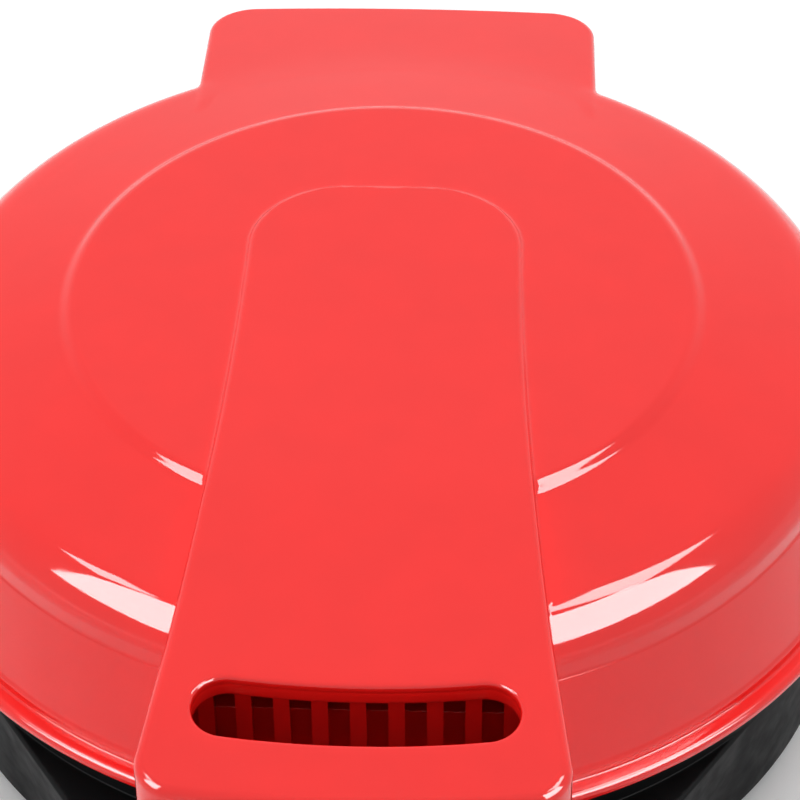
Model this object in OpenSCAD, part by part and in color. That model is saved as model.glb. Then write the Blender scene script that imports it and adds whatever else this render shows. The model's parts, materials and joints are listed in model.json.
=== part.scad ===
// Waffle cone maker: a hinged lid over a round baking plate, with a latch on its handle.
// Lengths are in millimetres. +Z is up, -Y is the handle's side, and z = 0 is the table.
// Most pieces are drawn from the plates' axis, at the height where lid and base part.

/* [Housing] */
// Height above the table at which lid and base part
parting_h = 46; // [44:0.5:54]
// Wall of the plastic mouldings
wall = 2.4; // [2:0.1:2.8]
// Gap between the lid's flange and the base's rim
parting_gap = 1; // [0.6:0.1:1.4]
// Clearance between pieces that sit against each other
seat_gap = 0.1; // [0.05:0.05:0.2]
// Radial clearance of pins and screws in their holes
fit_gap = 0.05; // [0.03:0.01:0.09]

/* [Lid] */
// Radial step from the lower flange bead in to the upper one
bead_step = 3.5; // [3:0.1:4]
// Height of the lower flange bead
low_bead_h = 2.6; // [2:0.1:3]
// Height of the upper flange bead
high_bead_h = 3; // [2.4:0.1:3.4]
// Distance from the upper bead's edge in to the foot of the skirt
skirt_set = 1; // [0.8:0.1:1.4]
// Distance that the skirt leans in from its foot to its crease
skirt_lean = 4.8; // [4:0.1:5.4]
// Height of the crease above the parting plane
crease_h = 25.9; // [24:0.1:28]
// Radial width of the shoulder above the crease
shoulder_w = 6.4; // [5:0.1:8]
// Height of the shoulder's inner edge above the parting plane
shoulder_h = 38.4; // [37:0.1:40]
// Radius of the raised disc
disc_r = 64; // [58:0.5:68]
// Height of the raised disc's edge above the parting plane
disc_h = 44.5; // [43:0.1:46]
// Radial width of the slope around the disc
ring_w = 3; // [2:0.1:5]
// Height of the slope around the disc
ring_step = 1.5; // [0.8:0.1:2]
// Height of the disc's crown above its edge
crown_h = 0.8; // [0.3:0.1:1.6]

/* [Tongue and handle] */
// Height of the tongue above the disc's crown
tongue_rise = 1.1; // [0.6:0.1:2]
// Distance from the plates' axis back to the tongue's round end
arch_reach = 34; // [28:0.5:42]
// Corner radius of the tongue's round end
arch_r = 20; // [14:0.5:26]
// Width of the tongue at its round end
tongue_back_w = 57.4; // [54:0.5:60]
// Width of the tongue half way to the handle's front
tongue_mid_w = 63.6; // [62:0.2:65]
// Width of the handle at its front
handle_w = 80.4; // [78:0.2:83]
// Distance from the skirt's foot out to the handle's front
handle_reach = 33.5; // [32:0.5:40]
// Radius of the handle's bowed front
front_bow_r = 250; // [200:5:400]
// Corner radius at the handle's front
front_corner_r = 7.5; // [5:0.5:9]
// Height of the handle's underside above the parting plane
handle_under_h = 10; // [8:0.5:12]
// Fall of the tongue's top from the disc to the slot
slot_fall = 2.2; // [1:0.1:3]
// Fall of the tongue's top from the disc to the handle's front
front_fall = 5; // [4:0.1:7]
// Thickness of the handle's underside cover
cover_t = 2.4; // [2:0.1:3]
// Distance from the skirt's foot out to the middle of the slot
slot_reach = 14.2; // [14:0.1:17]
// Width of the slot
slot_w = 12.3; // [10:0.1:13]
// Length of the slot, end to end
slot_l = 58.8; // [50:0.2:60]
// Radius of the slot's curve
slot_bend_r = 180; // [160:5:220]
// Depth of the lip that hangs from the slot's edge
slot_lip_h = 5; // [3.6:0.1:5.4]
// Wall of the slot's lip
slot_lip_t = 1.4; // [1:0.1:1.6]
// Number of ribs in the grille
rib_count = 9; // [7:1:11]
// Spacing of the ribs
rib_pitch = 7; // [6:0.1:7]
// Width of one rib
rib_w = 3; // [2:0.1:3.4]
// Depth of the grille from front to back
rib_d = 3; // [2:0.1:3.4]

/* [Hinge] */
// Distance from the skirt's foot back to the hinge axis
hinge_reach = 7; // [6:0.5:9]
// Height of the hinge axis above the parting plane
hinge_h = 3; // [2:0.1:4]
// Width of the hinge housing on the lid
housing_w = 90.8; // [88:0.2:94]
// Distance from the hinge axis back to the housing's rear face
housing_back = 8; // [7.8:0.1:9]
// Height of the housing's rear edge above the lid's slope carried on to it
housing_rise = 1.6; // [0:0.1:2.4]
// Corner radius of the housing
housing_corner_r = 10.5; // [8:0.5:12]
// Height of the housing's rear lower edge above the hinge axis
housing_edge_h = 9; // [9:0.1:11]
// Diameter of the hinge pins
hinge_pin_d = 5; // [4:0.1:6]
// Radius of the base's ears around the pins
ear_r = 7.5; // [6:0.1:7.5]
// Thickness of the base's ears
ear_t = 10; // [8:0.5:10]
// Gap between the base's ears and the lid's bosses
ear_gap = 0.6; // [0.4:0.1:1]
// Length of the lid's bosses inside the housing
lid_boss_l = 2.4; // [2:0.1:3]
// Outer radius of the sleeve that the wires cross in
sleeve_r = 4; // [3.8:0.1:4.4]
// Wall of the wire sleeve
sleeve_t = 0.8; // [0.6:0.1:1]

/* [Plates] */
// Radius of the baking plates
plate_r = 89; // [86:0.5:90]
// Thickness of a plate's body
plate_t = 5.4; // [5:0.1:6]
// Gap between the closed plates, from ridge to ridge
baking_gap = 2.6; // [2:0.1:3.4]
// Height of the waffle ridges
ridge_h = 0.9; // [0.6:0.1:1.2]
// Width of the waffle ridges
ridge_w = 2; // [1.4:0.1:2.4]
// Spacing of the waffle ridges
ridge_pitch = 9; // [8:0.5:12]
// Width of the plates' raised rim
rim_w = 3; // [2:0.2:4]
// Radius of the heater's ring
heater_r = 68; // [64:0.5:72]
// Diameter of the heater tube
heater_d = 6.5; // [6:0.1:7]
// Angle left open between the heater's ends
heater_open = 40; // [36:1:50]
// Height of the plates' mounting bosses
plate_boss_h = 5; // [4.6:0.1:5.4]
// Distance of the plates' mounting bosses from the axis
plate_boss_reach = 46; // [40:0.5:50]

/* [Heat shields] */
// Gap between a plate's edge and its heat shield's wall
pan_gap = 2.2; // [1.2:0.1:2.6]
// Width of the heat shields' rim
pan_rim_w = 8.2; // [8:0.1:11]
// Depth of the heat shields
pan_depth = 21.5; // [21:0.1:22.5]
// Thickness of the sheet
sheet_t = 0.8; // [0.6:0.1:1]
// Height of the heat shields' rim from the parting plane
pan_rim_h = 1.5; // [1.2:0.1:2]
// Distance from the heat shields' wall out to the rim screws
pan_screw_set = 4.6; // [4.2:0.1:4.8]
// Length of the rim screws' bosses
pan_boss_h = 11; // [10:0.5:12]
// Radius of the rim screws' bosses
pan_boss_r = 3.2; // [3:0.1:3.3]

/* [Electrics] */
// Height of the heater's pins above its tube
heater_pin_l = 18; // [16:0.5:18.5]
// Radius of the thermostat's body
stat_r = 7.5; // [6.5:0.1:8.5]
// Height of the thermostat's body
stat_h = 9; // [8:0.5:10]
// Length of the thermal fuse
fuse_l = 14; // [12:0.5:16]
// Width of the terminal block
block_w = 30; // [28:0.5:32]
// Depth of the terminal block
block_d = 14; // [12:0.5:15]
// Height of the terminal block
block_h = 11; // [10:0.5:12]
// Spacing of the terminal block's poles
block_pitch = 9; // [8:0.1:9.4]
// Distance from the cord clamp forward to the terminal block
block_in = 21; // [20:0.5:24]
// Distance from the saddle's rear face forward to the cord clamp
clamp_in = 21; // [19:0.5:22]

/* [Base] */
// Distance from the lid's flange edge in to the base's rim
rim_set = 4; // [4:0.1:5]
// Distance that the base's wall leans in from rim to bottom
base_lean = 4; // [3:0.1:5]
// Height of the base's lower edge above the table
base_lift = 6; // [5:0.1:7]
// Depth of the bow's deck below the parting plane
deck_drop = 10; // [9:0.5:11]
// Distance from the handle's front back to the bow's front edge
bow_set = 3.5; // [3:0.1:5]
// Width of the bow at its front
bow_w = 74; // [70:0.5:78]
// Half width of the bow where it leaves the round wall
bow_root_x = 76; // [75:0.5:77]
// Distance from the base's rim in to that place
bow_root_in = 1.5; // [1.5:0.1:2.5]
// Corner radius at the bow's front
bow_corner_r = 10; // [8:0.5:12]
// Distance that the bow's sides lean in down to its floor
bow_lean = 8; // [6:0.5:9]
// Height of the bow's floor above the base's lower edge
bow_floor_h = 3; // [2:0.5:5]
// Half width of the hinge saddle
saddle_half_w = 42.2; // [41:0.1:42.4]
// Distance from the hinge axis back to the saddle's rear face
saddle_back = 4; // [3:0.1:4.4]
// Depth of the saddle's top below the hinge axis
saddle_drop = 9; // [8.6:0.1:10]
// Thickness of the bottom cover
bottom_t = 2.5; // [2:0.1:3]
// Distance from the bottom cover's edge in to its screws
cover_screw_in = 9.9; // [8.9:0.1:11.9]
// Distance from the bottom cover's edge in to the middle of the feet
foot_in = 18.9; // [16.9:0.1:24.9]
// Radius of the rubber feet
foot_r = 9; // [7:0.5:10]
// Height of the cord gland above the table
gland_h = 21; // [19.5:0.5:22]
// Radius of the gland's hole for the cord
cord_r = 3.8; // [3.2:0.1:4]

/* [Latch] */
// Distance from the handle's front to the latch pivot
latch_out = 4.2; // [4.1:0.1:5]
// Height of the latch pivot above the parting plane
latch_pivot_h = 22; // [21.5:0.1:23]
// Width of the latch
latch_w = 22; // [18:0.5:25]
// Thickness of the latch's arm
latch_t = 3; // [2.4:0.1:3.2]
// Distance from the pivot down to the hook's upper face
hook_drop = 39.6; // [39.2:0.1:40]
// Distance that the hook reaches back from the pivot's plane
hook_reach = 6.2; // [5.6:0.1:6.4]
// Thickness of the hook
hook_t = 3.4; // [3:0.1:3.6]
// Diameter of the latch pin
latch_pin_d = 3; // [2.5:0.1:3.4]
// Width of the two lugs that carry the latch
lug_w = 3.2; // [3:0.1:4]
// Distance of the indicator lenses from the middle
lens_x = 25; // [24:0.5:27]
// Height of the indicator lenses above the parting plane
lens_h = 26; // [24:0.5:29]
// Radius of an indicator lens
lens_r = 3; // [2.5:0.1:3.5]

/* [Hidden] */
$fn = 72;

red = "#d92b2b";
black = "#26282a";
steel = "#b9bcc0";
coating = "#3a3b3d";
over = 1;          // how far a cut runs past the face that it opens
fine = 360;        // facets of the large arcs

// Heat shields and housing, out from the plates' edge
rim_gap = 0.4;     // from the heat shields' rim to the wall around it
pan_r = plate_r + pan_gap + sheet_t;
pan_rim_r = pan_r + pan_rim_w;
pan_screw_reach = pan_r + pan_screw_set;
skirt_r = pan_rim_r + rim_gap + wall;
bead_r = skirt_r + skirt_set;
flange_r = bead_r + bead_step;
handle_front = skirt_r + handle_reach;
slot_mid = skirt_r + slot_reach;
hinge_y = skirt_r + hinge_reach;

// Lid section
skirt_h = low_bead_h + high_bead_h;
crease_r = skirt_r - skirt_lean;
shoulder_r = crease_r - shoulder_w;
ring_r = disc_r + ring_w;
ring_h = disc_h - ring_step;
crown_top = disc_h + crown_h;
annulus_fall = (ring_h - shoulder_h) / (shoulder_r - ring_r);
far_r = handle_front + 2;                // radius past everything on the lid
far_h = ring_h - annulus_fall * (far_r - ring_r);

// Tongue and handle
tongue_h = crown_top + tongue_rise;
arch_y = arch_reach - arch_r;
mid_y = (arch_y - handle_front) / 2;
front_bulge = front_bow_r - sqrt(pow(front_bow_r, 2) - pow(handle_w / 2, 2));
corner_y = handle_front - front_bulge - front_corner_r;
flank = circle_through([tongue_back_w / 2, arch_y], [tongue_mid_w / 2, mid_y],
                       [handle_w / 2, -handle_front]);
front_top_h = tongue_h - front_fall;
slot_top_h = tongue_h - slot_fall;
slot_rear = slot_mid - slot_w / 2;
// Where the tongue's sides leave the disc's ring, and where they leave the shoulder
tongue_ring_y = sqrt(pow(ring_r, 2) - pow(handle_w / 2, 2));
tongue_foot_y = sqrt(pow(shoulder_r, 2) - pow(handle_w / 2, 2));
cover_top_h = handle_under_h + cover_t;
handle_back = skirt_r + 2 * seat_gap;    // front of the skirt, which is the handle's back wall
passage_h = skirt_h + 24;                // floor of the passage from the handle into the lid
lead_h = passage_h + 5;
lead_side = 6.6;                         // how far the lamp leads swing out past the lenses
handle_boss = [handle_w / 2 - wall - 4.5, handle_front - 8.5];
handle_boss_r = 3.2;
handle_hole_h = 12;
screw_r = 1.5;
screw_head_r = 2.8;
screw_head_h = 1.8;
handle_grip = 8;                         // screw length past the cover that it holds
cover_grip = 7;

// Hinge
housing_rear = hinge_y + housing_back;
housing_in = housing_w / 2 - wall;
far_rise = housing_rise * (far_r - shoulder_r) / (housing_rear - shoulder_r);
ear_out = housing_in - lid_boss_l - ear_gap;
ear_in = ear_out - ear_t;
pin_r = hinge_pin_d / 2;
cheek_r = housing_back;
saddle_top = hinge_h - saddle_drop;
saddle_rear = hinge_y + saddle_back;
sleeve_l = 36;
cradle_x = 13.5;
cradle_t = 4;
wire_r = 1;
tab_t = 0.8;
tab_w = 5;
fuse_r = 2.2;

// Plates, measured from the parting plane
ridge_tip = baking_gap / 2;
plate_face = ridge_tip + ridge_h;
plate_back = plate_face + plate_t;
heater_seat_h = heater_d / 2;
heater_h = plate_back + heater_seat_h;
heater_end_r = heater_d / 2 + 0.5;
heater_top_h = heater_h + heater_pin_l;
plate_boss_top = plate_back + plate_boss_h;
pan_in = pan_rim_h + pan_depth - sheet_t;
pan_back = pan_rim_h + pan_depth;
plate_screw_r = 2;
spacer_r = 4;

// Base, measured from the parting plane
base_r = flange_r - rim_set;
base_foot_r = base_r - base_lean;
base_floor = base_lift - parting_h;
rim_band_h = 4;
cover_top = base_floor + 0.5 + bottom_t;
bow_floor = base_floor + bow_floor_h;
bow_reach = handle_front - bow_set;
bow_root_y = sqrt(pow(base_r - bow_root_in, 2) - pow(bow_root_x, 2));
cover_r = base_foot_r - wall - 2 * seat_gap;
cover_screw_reach = cover_r - cover_screw_in;
foot_reach = cover_r - foot_in;
deck_h = -deck_drop;
catch_half_w = latch_w / 2 + 2;
catch_top = deck_h - 5.4;
catch_h = 7.6;
gland_z = gland_h - parting_h;
gland_body_r = cord_r + 2.4;
gland_flange_r = gland_body_r + 2.4;
gland_out = 3.5;
gland_in = 7;
clamp_y = saddle_rear - clamp_in;
block_y = clamp_y - block_in;
clamp_h = gland_z - cover_top - cord_r - 2.4;
clamp_bar_t = 4;
clamp_w = 8;
clamp_x = 9;       // from the middle to the clamp's screws

// Latch
pivot_y = -(handle_front + latch_out);
barrel_r = 3.2;
lug_in = latch_w / 2 + 1.4;
latch_foot = hook_drop + hook_t;
tab_out = 5.5;

// Lenses and lamps behind the handle's front
lens_front = -handle_front + front_bulge / 2 - 0.6;
lens_l = wall + front_bulge + 1;
lamp_y = lens_front + lens_l + seat_gap;
lamp_l = 6;
lamp_base_l = 1.5;

// Overall reach, which centres the object on the origin
front_reach = handle_front + latch_out + latch_t / 2 + tab_out;
rear_reach = saddle_rear + gland_out;
axis_y = (front_reach - max(rear_reach, housing_rear)) / 2;

corner_angles = [45, 135, 225, 315];
boss_angles = [0, 90, 180, 270];
cover_angles = [25, 155, 205, 335];

// Centre and radius of the circle through three points: [x, y, r]
function circle_through(a, b, c) =
    let (d = 2 * (a[0] * (b[1] - c[1]) + b[0] * (c[1] - a[1]) + c[0] * (a[1] - b[1])),
         x = ((a * a) * (b[1] - c[1]) + (b * b) * (c[1] - a[1]) + (c * c) * (a[1] - b[1])) / d,
         y = ((a * a) * (c[0] - b[0]) + (b * b) * (a[0] - c[0]) + (c * c) * (b[0] - a[0])) / d)
    [x, y, norm([x, y] - a)];

// Points of a cubic curve after its first point
function curve(a, b, c, d, n) =
    [for (i = [1 : n]) let (t = i / n, s = 1 - t)
        s * s * s * a + 3 * s * s * t * b + 3 * s * t * t * c + t * t * t * d];

// A path moved sideways by t, to its left
function beside(p, t) =
    [for (i = [0 : len(p) - 1])
        let (a = p[max(i - 1, 0)], b = p[min(i + 1, len(p) - 1)], u = (b - a) / norm(b - a))
        p[i] + t * [-u[1], u[0]]];

// Lid's outer section from the skirt's foot up to the axis: [radius, height]
function lid_section() =
    concat([[skirt_r, skirt_h]],
           [[crease_r, crease_h]],
           curve([crease_r, crease_h],
                 [crease_r - 0.05 * shoulder_w, crease_h + 0.6 * (shoulder_h - crease_h)],
                 [crease_r - 0.25 * shoulder_w, shoulder_h - 0.06 * (shoulder_h - crease_h)],
                 [shoulder_r, shoulder_h], 7),
           [[ring_r + 1, ring_h - annulus_fall]],
           curve([ring_r + 1, ring_h - annulus_fall], [ring_r - ring_w / 2, ring_h],
                 [disc_r + ring_w / 2, disc_h], [disc_r, disc_h], 4),
           [[disc_r / 2, disc_h + 0.75 * crown_h], [0, crown_top]]);

module at_axis() {
    translate([0, axis_y, parting_h]) children();
}

// Extrudes a (y, z) section along X, centred
module along_x(w) {
    rotate([90, 0, 90]) translate([0, 0, -w / 2]) linear_extrude(w) children();
}

module ring_of(angles, reach) {
    for (a = angles) rotate(a) translate([reach, 0, 0]) children();
}

module both_sides() {
    children();
    mirror([1, 0, 0]) children();
}

// Pan-head screw whose shank points down from z = 0, with a cross recess in its head
module screw(r, l, head_r, head_h) {
    slot_t = 0.7;
    difference() {
        union() {
            cylinder(r = head_r, h = head_h);
            translate([0, 0, -l]) cylinder(r = r, h = l + seat_gap);
        }
        for (a = [0, 90]) rotate(a) translate([-head_r * 0.7, -slot_t / 2, head_h * 0.5])
            cube([head_r * 1.4, slot_t, head_h]);
    }
}

// Unit vector square to direction t, turned as little as possible from u
function across(u, t) = let (w = u - (u * t) / (t * t) * t) w / norm(w);

// Ring of n points around p, square to direction t, the first one towards u
function hoop(p, t, u, r, n) =
    let (v = cross(t, u) / norm(t))
    [for (i = [0 : n - 1]) p + r * (cos(360 * i / n) * u + sin(360 * i / n) * v)];

// A path with its corners cut
function soften(path) =
    concat([path[0]],
           [for (i = [1 : len(path) - 2], s = [0, 1])
               s == 0 ? (path[i - 1] + 3 * path[i]) / 4 : (3 * path[i] + path[i + 1]) / 4],
           [path[len(path) - 1]]);

// Wire of radius r swept along a path
module wire(path, r = wire_r) {
    n = 6;
    way = soften(path);
    last = len(way) - 1;
    start = way[1] - way[0];
    rings = [for (i = 0, t = start, u = across([start[1], start[2], start[0]], start);
                  i <= last;
                  i = i + 1, t = way[min(i + 1, last)] - way[min(i, last) - 1], u = across(u, t))
        hoop(way[i], t, u, r, n)];
    polyhedron(points = [for (ring = rings) each ring],
               faces = concat(
                   [[for (k = [0 : n - 1]) n - 1 - k]],
                   [for (i = [0 : last - 1], k = [0 : n - 1])
                       [i * n + k, i * n + (k + 1) % n, (i + 1) * n + (k + 1) % n,
                        (i + 1) * n + k]],
                   [[for (k = [0 : n - 1]) last * n + k]]));
}

// ---------------------------------------------------------------- lid

module bead(edge_r, low, h) {
    translate([0, 0, low]) rotate_extrude() {
        translate([skirt_r - wall, 0]) square([edge_r - h / 2 - skirt_r + wall, h]);
        translate([edge_r - h / 2, h / 2]) circle(r = h / 2, $fn = 32);
    }
}

module lid_dome() {
    rotate_extrude($fn = fine)
        polygon(concat([[0, 0], [skirt_r, 0]], lid_section()));
}

// Room inside the lid, one wall in from its section
module lid_room() {
    section = beside(lid_section(), wall);
    last = len(section) - 2;
    rotate_extrude($fn = fine)
        polygon(concat([[0, -over], [skirt_r - wall, -over]],
                       [for (i = [0 : last]) section[i]],
                       [[0, section[last][1]]]));
}

// Outline of tongue and handle seen from above, drawn in by inset
module tongue_plan(inset = 0) {
    side_w = handle_w / 2 - front_corner_r;
    difference() {
        translate([-handle_w, -corner_y]) square([2 * handle_w, corner_y + arch_y]);
        for (s = [-1, 1]) translate([s * flank[0], flank[1]])
            circle(r = flank[2] + inset, $fn = 2 * fine);
    }
    intersection() {
        translate([-side_w, -handle_front]) square([2 * side_w, handle_front]);
        translate([0, front_bow_r - handle_front]) circle(r = front_bow_r - inset, $fn = fine);
    }
    for (s = [-1, 1]) {
        translate([s * side_w, -corner_y]) circle(r = front_corner_r - inset);
        translate([s * (tongue_back_w / 2 - arch_r), arch_y]) circle(r = arch_r - inset);
    }
    translate([arch_r - tongue_back_w / 2, 0])
        square([tongue_back_w - 2 * arch_r, arch_reach - inset]);
}

// Top line of tongue and handle in the (y, z) plane, lowered by drop, down to foot
module tongue_side(drop, foot) {
    edge_r = 2;
    polygon([[arch_reach, foot], [arch_reach, tongue_h - drop], [mid_y, tongue_h - drop],
             [-slot_rear, slot_top_h - drop], [edge_r - handle_front, front_top_h - drop],
             [-handle_front, front_top_h - edge_r - drop], [-handle_front, foot]]);
    translate([edge_r - handle_front, front_top_h - edge_r - drop]) circle(r = edge_r, $fn = 32);
}

module tongue() {
    intersection() {
        translate([0, 0, handle_under_h]) linear_extrude(tongue_h) tongue_plan();
        along_x(2 * handle_w) difference() {
            tongue_side(0, handle_under_h);
            translate([-tongue_foot_y, 0]) square([2 * far_r, shoulder_h - wall]);
            translate([-tongue_ring_y, 0]) square([2 * far_r, ring_h - wall / 2]);
        }
    }
}

// Room inside the handle, and the passage from it to the room inside the lid
module handle_room() {
    intersection() {
        linear_extrude(tongue_h) tongue_plan(wall);
        along_x(2 * handle_w) intersection() {
            tongue_side(wall, 0);
            union() {
                translate([-far_r, 0]) square([far_r - handle_back, tongue_h]);
                translate([-far_r, passage_h]) square([far_r - ring_r, tongue_h]);
            }
        }
    }
}

// Outline of the hinge housing seen from above
module housing_plan(inset = 0) {
    half = housing_w / 2 - inset;
    corner = housing_corner_r - inset;
    translate([-half, ring_r]) square([2 * half, housing_rear - ring_r - housing_corner_r]);
    translate([-half + corner, ring_r])
        square([2 * (half - corner), housing_rear - ring_r - inset]);
    for (s = [-1, 1]) translate([s * (half - corner), housing_rear - housing_corner_r])
        circle(r = corner);
}

// The lid's sloping top carried on outwards, lowered by drop
module sloping_top(drop) {
    low = -over - cheek_r;
    rotate_extrude($fn = fine)
        polygon([[0, low], [far_r, low], [far_r, far_h + far_rise - drop],
                 [shoulder_r, shoulder_h - drop], [ring_r, ring_h - drop], [0, ring_h - drop]]);
}

module housing() {
    intersection() {
        translate([0, 0, hinge_h - cheek_r]) linear_extrude(tongue_h) housing_plan();
        sloping_top(seat_gap);
        along_x(2 * housing_w) {
            translate([hinge_y, hinge_h]) circle(r = cheek_r);
            translate([ring_r, 0]) square([hinge_y - ring_r, tongue_h]);
            translate([hinge_y, hinge_h]) square([housing_back, tongue_h]);
        }
    }
}

module housing_room() {
    intersection() {
        translate([0, 0, -cheek_r]) linear_extrude(tongue_h + cheek_r) housing_plan(wall);
        sloping_top(wall + 3 * seat_gap);
        translate([-housing_w, shoulder_r - wall, -cheek_r])
            cube([2 * housing_w, far_r, tongue_h + cheek_r]);
    }
}

// Outline of the slot in the handle, grown by grow
module slot_plan(grow = 0) {
    half_w = slot_w / 2;
    half_angle = asin((slot_l / 2 - half_w) / slot_bend_r);
    translate([0, slot_bend_r - slot_mid]) {
        intersection() {
            difference() {
                circle(r = slot_bend_r + half_w + grow, $fn = fine);
                circle(r = slot_bend_r - half_w - grow, $fn = fine);
            }
            polygon([[0, 0],
                     2 * slot_bend_r * [-sin(half_angle), -cos(half_angle)],
                     2 * slot_bend_r * [sin(half_angle), -cos(half_angle)]]);
        }
        for (s = [-1, 1]) rotate(s * half_angle) translate([0, -slot_bend_r])
            circle(r = half_w + grow);
    }
}

module slot_lip() {
    intersection() {
        linear_extrude(tongue_h) difference() {
            slot_plan(slot_lip_t);
            slot_plan();
        }
        along_x(handle_w) difference() {
            tongue_side(wall / 2, 0);
            tongue_side(slot_lip_h, 0);
        }
    }
}

// Bosses that the handle cover is screwed to, hanging from the handle's top
module handle_bosses() {
    intersection() {
        translate([0, 0, cover_top_h + seat_gap]) both_sides()
            translate([handle_boss[0], -handle_boss[1], 0]) cylinder(r = handle_boss_r, h = tongue_h);
        along_x(2 * handle_w) tongue_side(wall / 2, 0);
    }
}

// Lugs on the handle's front that carry the latch pin
module latch_lugs() {
    both_sides() translate([lug_in + lug_w / 2, 0, 0]) along_x(lug_w) {
        translate([pivot_y, latch_pivot_h]) circle(r = barrel_r + 0.3, $fn = 36);
        translate([pivot_y, latch_pivot_h - barrel_r - 0.3])
            square([latch_out + front_bulge + wall, 2 * barrel_r + 0.6]);
    }
}

// Bosses for a heat shield's rim screws, ribbed to the wall outside them
module pan_bosses() {
    ring_of(corner_angles, pan_screw_reach) translate([0, 0, pan_rim_h + sheet_t + seat_gap]) {
        cylinder(r = pan_boss_r, h = pan_boss_h);
        translate([0, -wall / 2, 0]) cube([skirt_r - pan_screw_reach, wall, pan_boss_h]);
    }
}

module lid_shell() {
    color(red) at_axis() difference() {
        union() {
            difference() {
                union() {
                    lid_dome();
                    bead(flange_r, 0, low_bead_h);
                    bead(bead_r, low_bead_h, high_bead_h);
                    tongue();
                    housing();
                }
                lid_room();
                handle_room();
                housing_room();
                linear_extrude(2 * tongue_h) slot_plan();
                translate([-housing_in, hinge_y - ear_r, -cheek_r - over])
                    cube([2 * housing_in, far_r,
                          cheek_r + over + hinge_h + housing_edge_h]);
            }
            slot_lip();
            handle_bosses();
            latch_lugs();
            intersection() {
                pan_bosses();
                lid_dome();
            }
            both_sides() translate([ear_out + ear_gap, hinge_y, hinge_h])
                rotate([0, 90, 0]) cylinder(r = cheek_r - 1, h = lid_boss_l + over);
        }
        ring_of(corner_angles, pan_screw_reach)
            cylinder(r = screw_r + fit_gap, h = pan_boss_h);
        both_sides() {
            translate([handle_boss[0], -handle_boss[1], 0])
                cylinder(r = screw_r + fit_gap, h = cover_top_h + handle_hole_h);
            translate([ear_out, hinge_y, hinge_h]) rotate([0, 90, 0])
                cylinder(r = pin_r + fit_gap, h = housing_w / 2 - ear_out - wall / 2);
            translate([lens_x, -handle_front - over, lens_h]) rotate([-90, 0, 0])
                cylinder(r = lens_r + seat_gap, h = 2 * wall + front_bulge + over);
        }
        translate([-handle_w, pivot_y, latch_pivot_h]) rotate([0, 90, 0])
            cylinder(r = latch_pin_d / 2 + fit_gap, h = 2 * handle_w);
    }
}

// Comb of upright ribs behind the slot, between the cover and the handle's top
module vent_grille() {
    rail_h = 3;
    half_l = (rib_count - 1) / 2 * rib_pitch + rib_w / 2;
    top_h = slot_top_h - wall - 2 * seat_gap;
    front_r = slot_bend_r - slot_w / 2 - slot_lip_t - seat_gap;
    color(red) at_axis() intersection() {
        translate([0, slot_bend_r - slot_mid, cover_top_h + seat_gap]) difference() {
            cylinder(r = front_r, h = tongue_h, $fn = fine);
            translate([0, 0, -over]) cylinder(r = front_r - rib_d, h = tongue_h * 2, $fn = fine);
        }
        union() {
            for (i = [0 : rib_count - 1])
                translate([(i - (rib_count - 1) / 2) * rib_pitch - rib_w / 2, -far_r, 0])
                    cube([rib_w, far_r, top_h]);
            for (z = [0, top_h - rail_h])
                translate([-half_l, -far_r, z])
                    cube([2 * half_l, far_r, z > 0 ? rail_h : cover_top_h + rail_h]);
        }
    }
}

// Cover under the handle
module handle_cover() {
    color(black) at_axis() difference() {
        intersection() {
            translate([0, 0, handle_under_h]) linear_extrude(cover_t)
                tongue_plan(wall + seat_gap);
            translate([-far_r, -far_r - handle_back - seat_gap, 0])
                cube([2 * far_r, far_r, tongue_h]);
        }
        both_sides() translate([handle_boss[0], -handle_boss[1], 0])
            cylinder(r = screw_r + fit_gap, h = tongue_h);
    }
}

module handle_screws() {
    color(steel) at_axis() both_sides()
        translate([handle_boss[0], -handle_boss[1], handle_under_h - seat_gap])
        mirror([0, 0, 1]) screw(screw_r, cover_t + handle_grip, screw_head_r, screw_head_h);
}

// Hook plate that swings on the handle's front
module latch() {
    color(black) at_axis() translate([0, pivot_y, latch_pivot_h]) difference() {
        along_x(latch_w) {
            circle(r = barrel_r, $fn = 36);
            translate([-latch_t / 2, -latch_foot]) square([latch_t, latch_foot]);
            translate([-latch_t / 2, -latch_foot]) square([latch_t / 2 + hook_reach, hook_t]);
            translate([-latch_t / 2 - tab_out, -latch_foot]) square([tab_out + over, hook_t]);
        }
        translate([-latch_w, 0, 0]) rotate([0, 90, 0])
            cylinder(r = latch_pin_d / 2 + fit_gap, h = 2 * latch_w);
    }
}

module latch_pin() {
    half = lug_in + lug_w + 0.4;
    color(steel) at_axis() translate([-half, pivot_y, latch_pivot_h]) rotate([0, 90, 0])
        cylinder(r = latch_pin_d / 2, h = 2 * half);
}

module lens() {
    translate([lens_x, lens_front, lens_h]) rotate([-90, 0, 0])
        cylinder(r = lens_r, h = lens_l);
}

module power_lens() {
    color("#e84040") at_axis() mirror([1, 0, 0]) lens();
}

module ready_lens() {
    color("#4fbf5a") at_axis() lens();
}

// Small lamps that stand behind the lenses
module indicator_lamps() {
    color("#e9dcc0") at_axis() both_sides() translate([lens_x, lamp_y, lens_h])
        rotate([-90, 0, 0]) {
            cylinder(r = lens_r - 0.4, h = lamp_l);
            translate([0, 0, lamp_l]) cylinder(r = lens_r - 1, h = lamp_base_l);
        }
}

module lamp_leads() {
    lead_r = 0.7;
    lamp_back = lamp_y + lamp_l + lamp_base_l;
    lead_x = lens_x + lead_side;
    color("#c9c4b8") at_axis() both_sides()
        wire([[lens_x, lamp_back + lead_r, lens_h], [lead_x, lamp_back + 6, lens_h + 4],
              [lead_x, -slot_rear + 4, lead_h], [lead_x - 4, -shoulder_r, lead_h],
              [lens_x, -ring_r, pan_back + 3]], lead_r);
}

// ---------------------------------------------------------------- heat shields, plates, heaters

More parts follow.
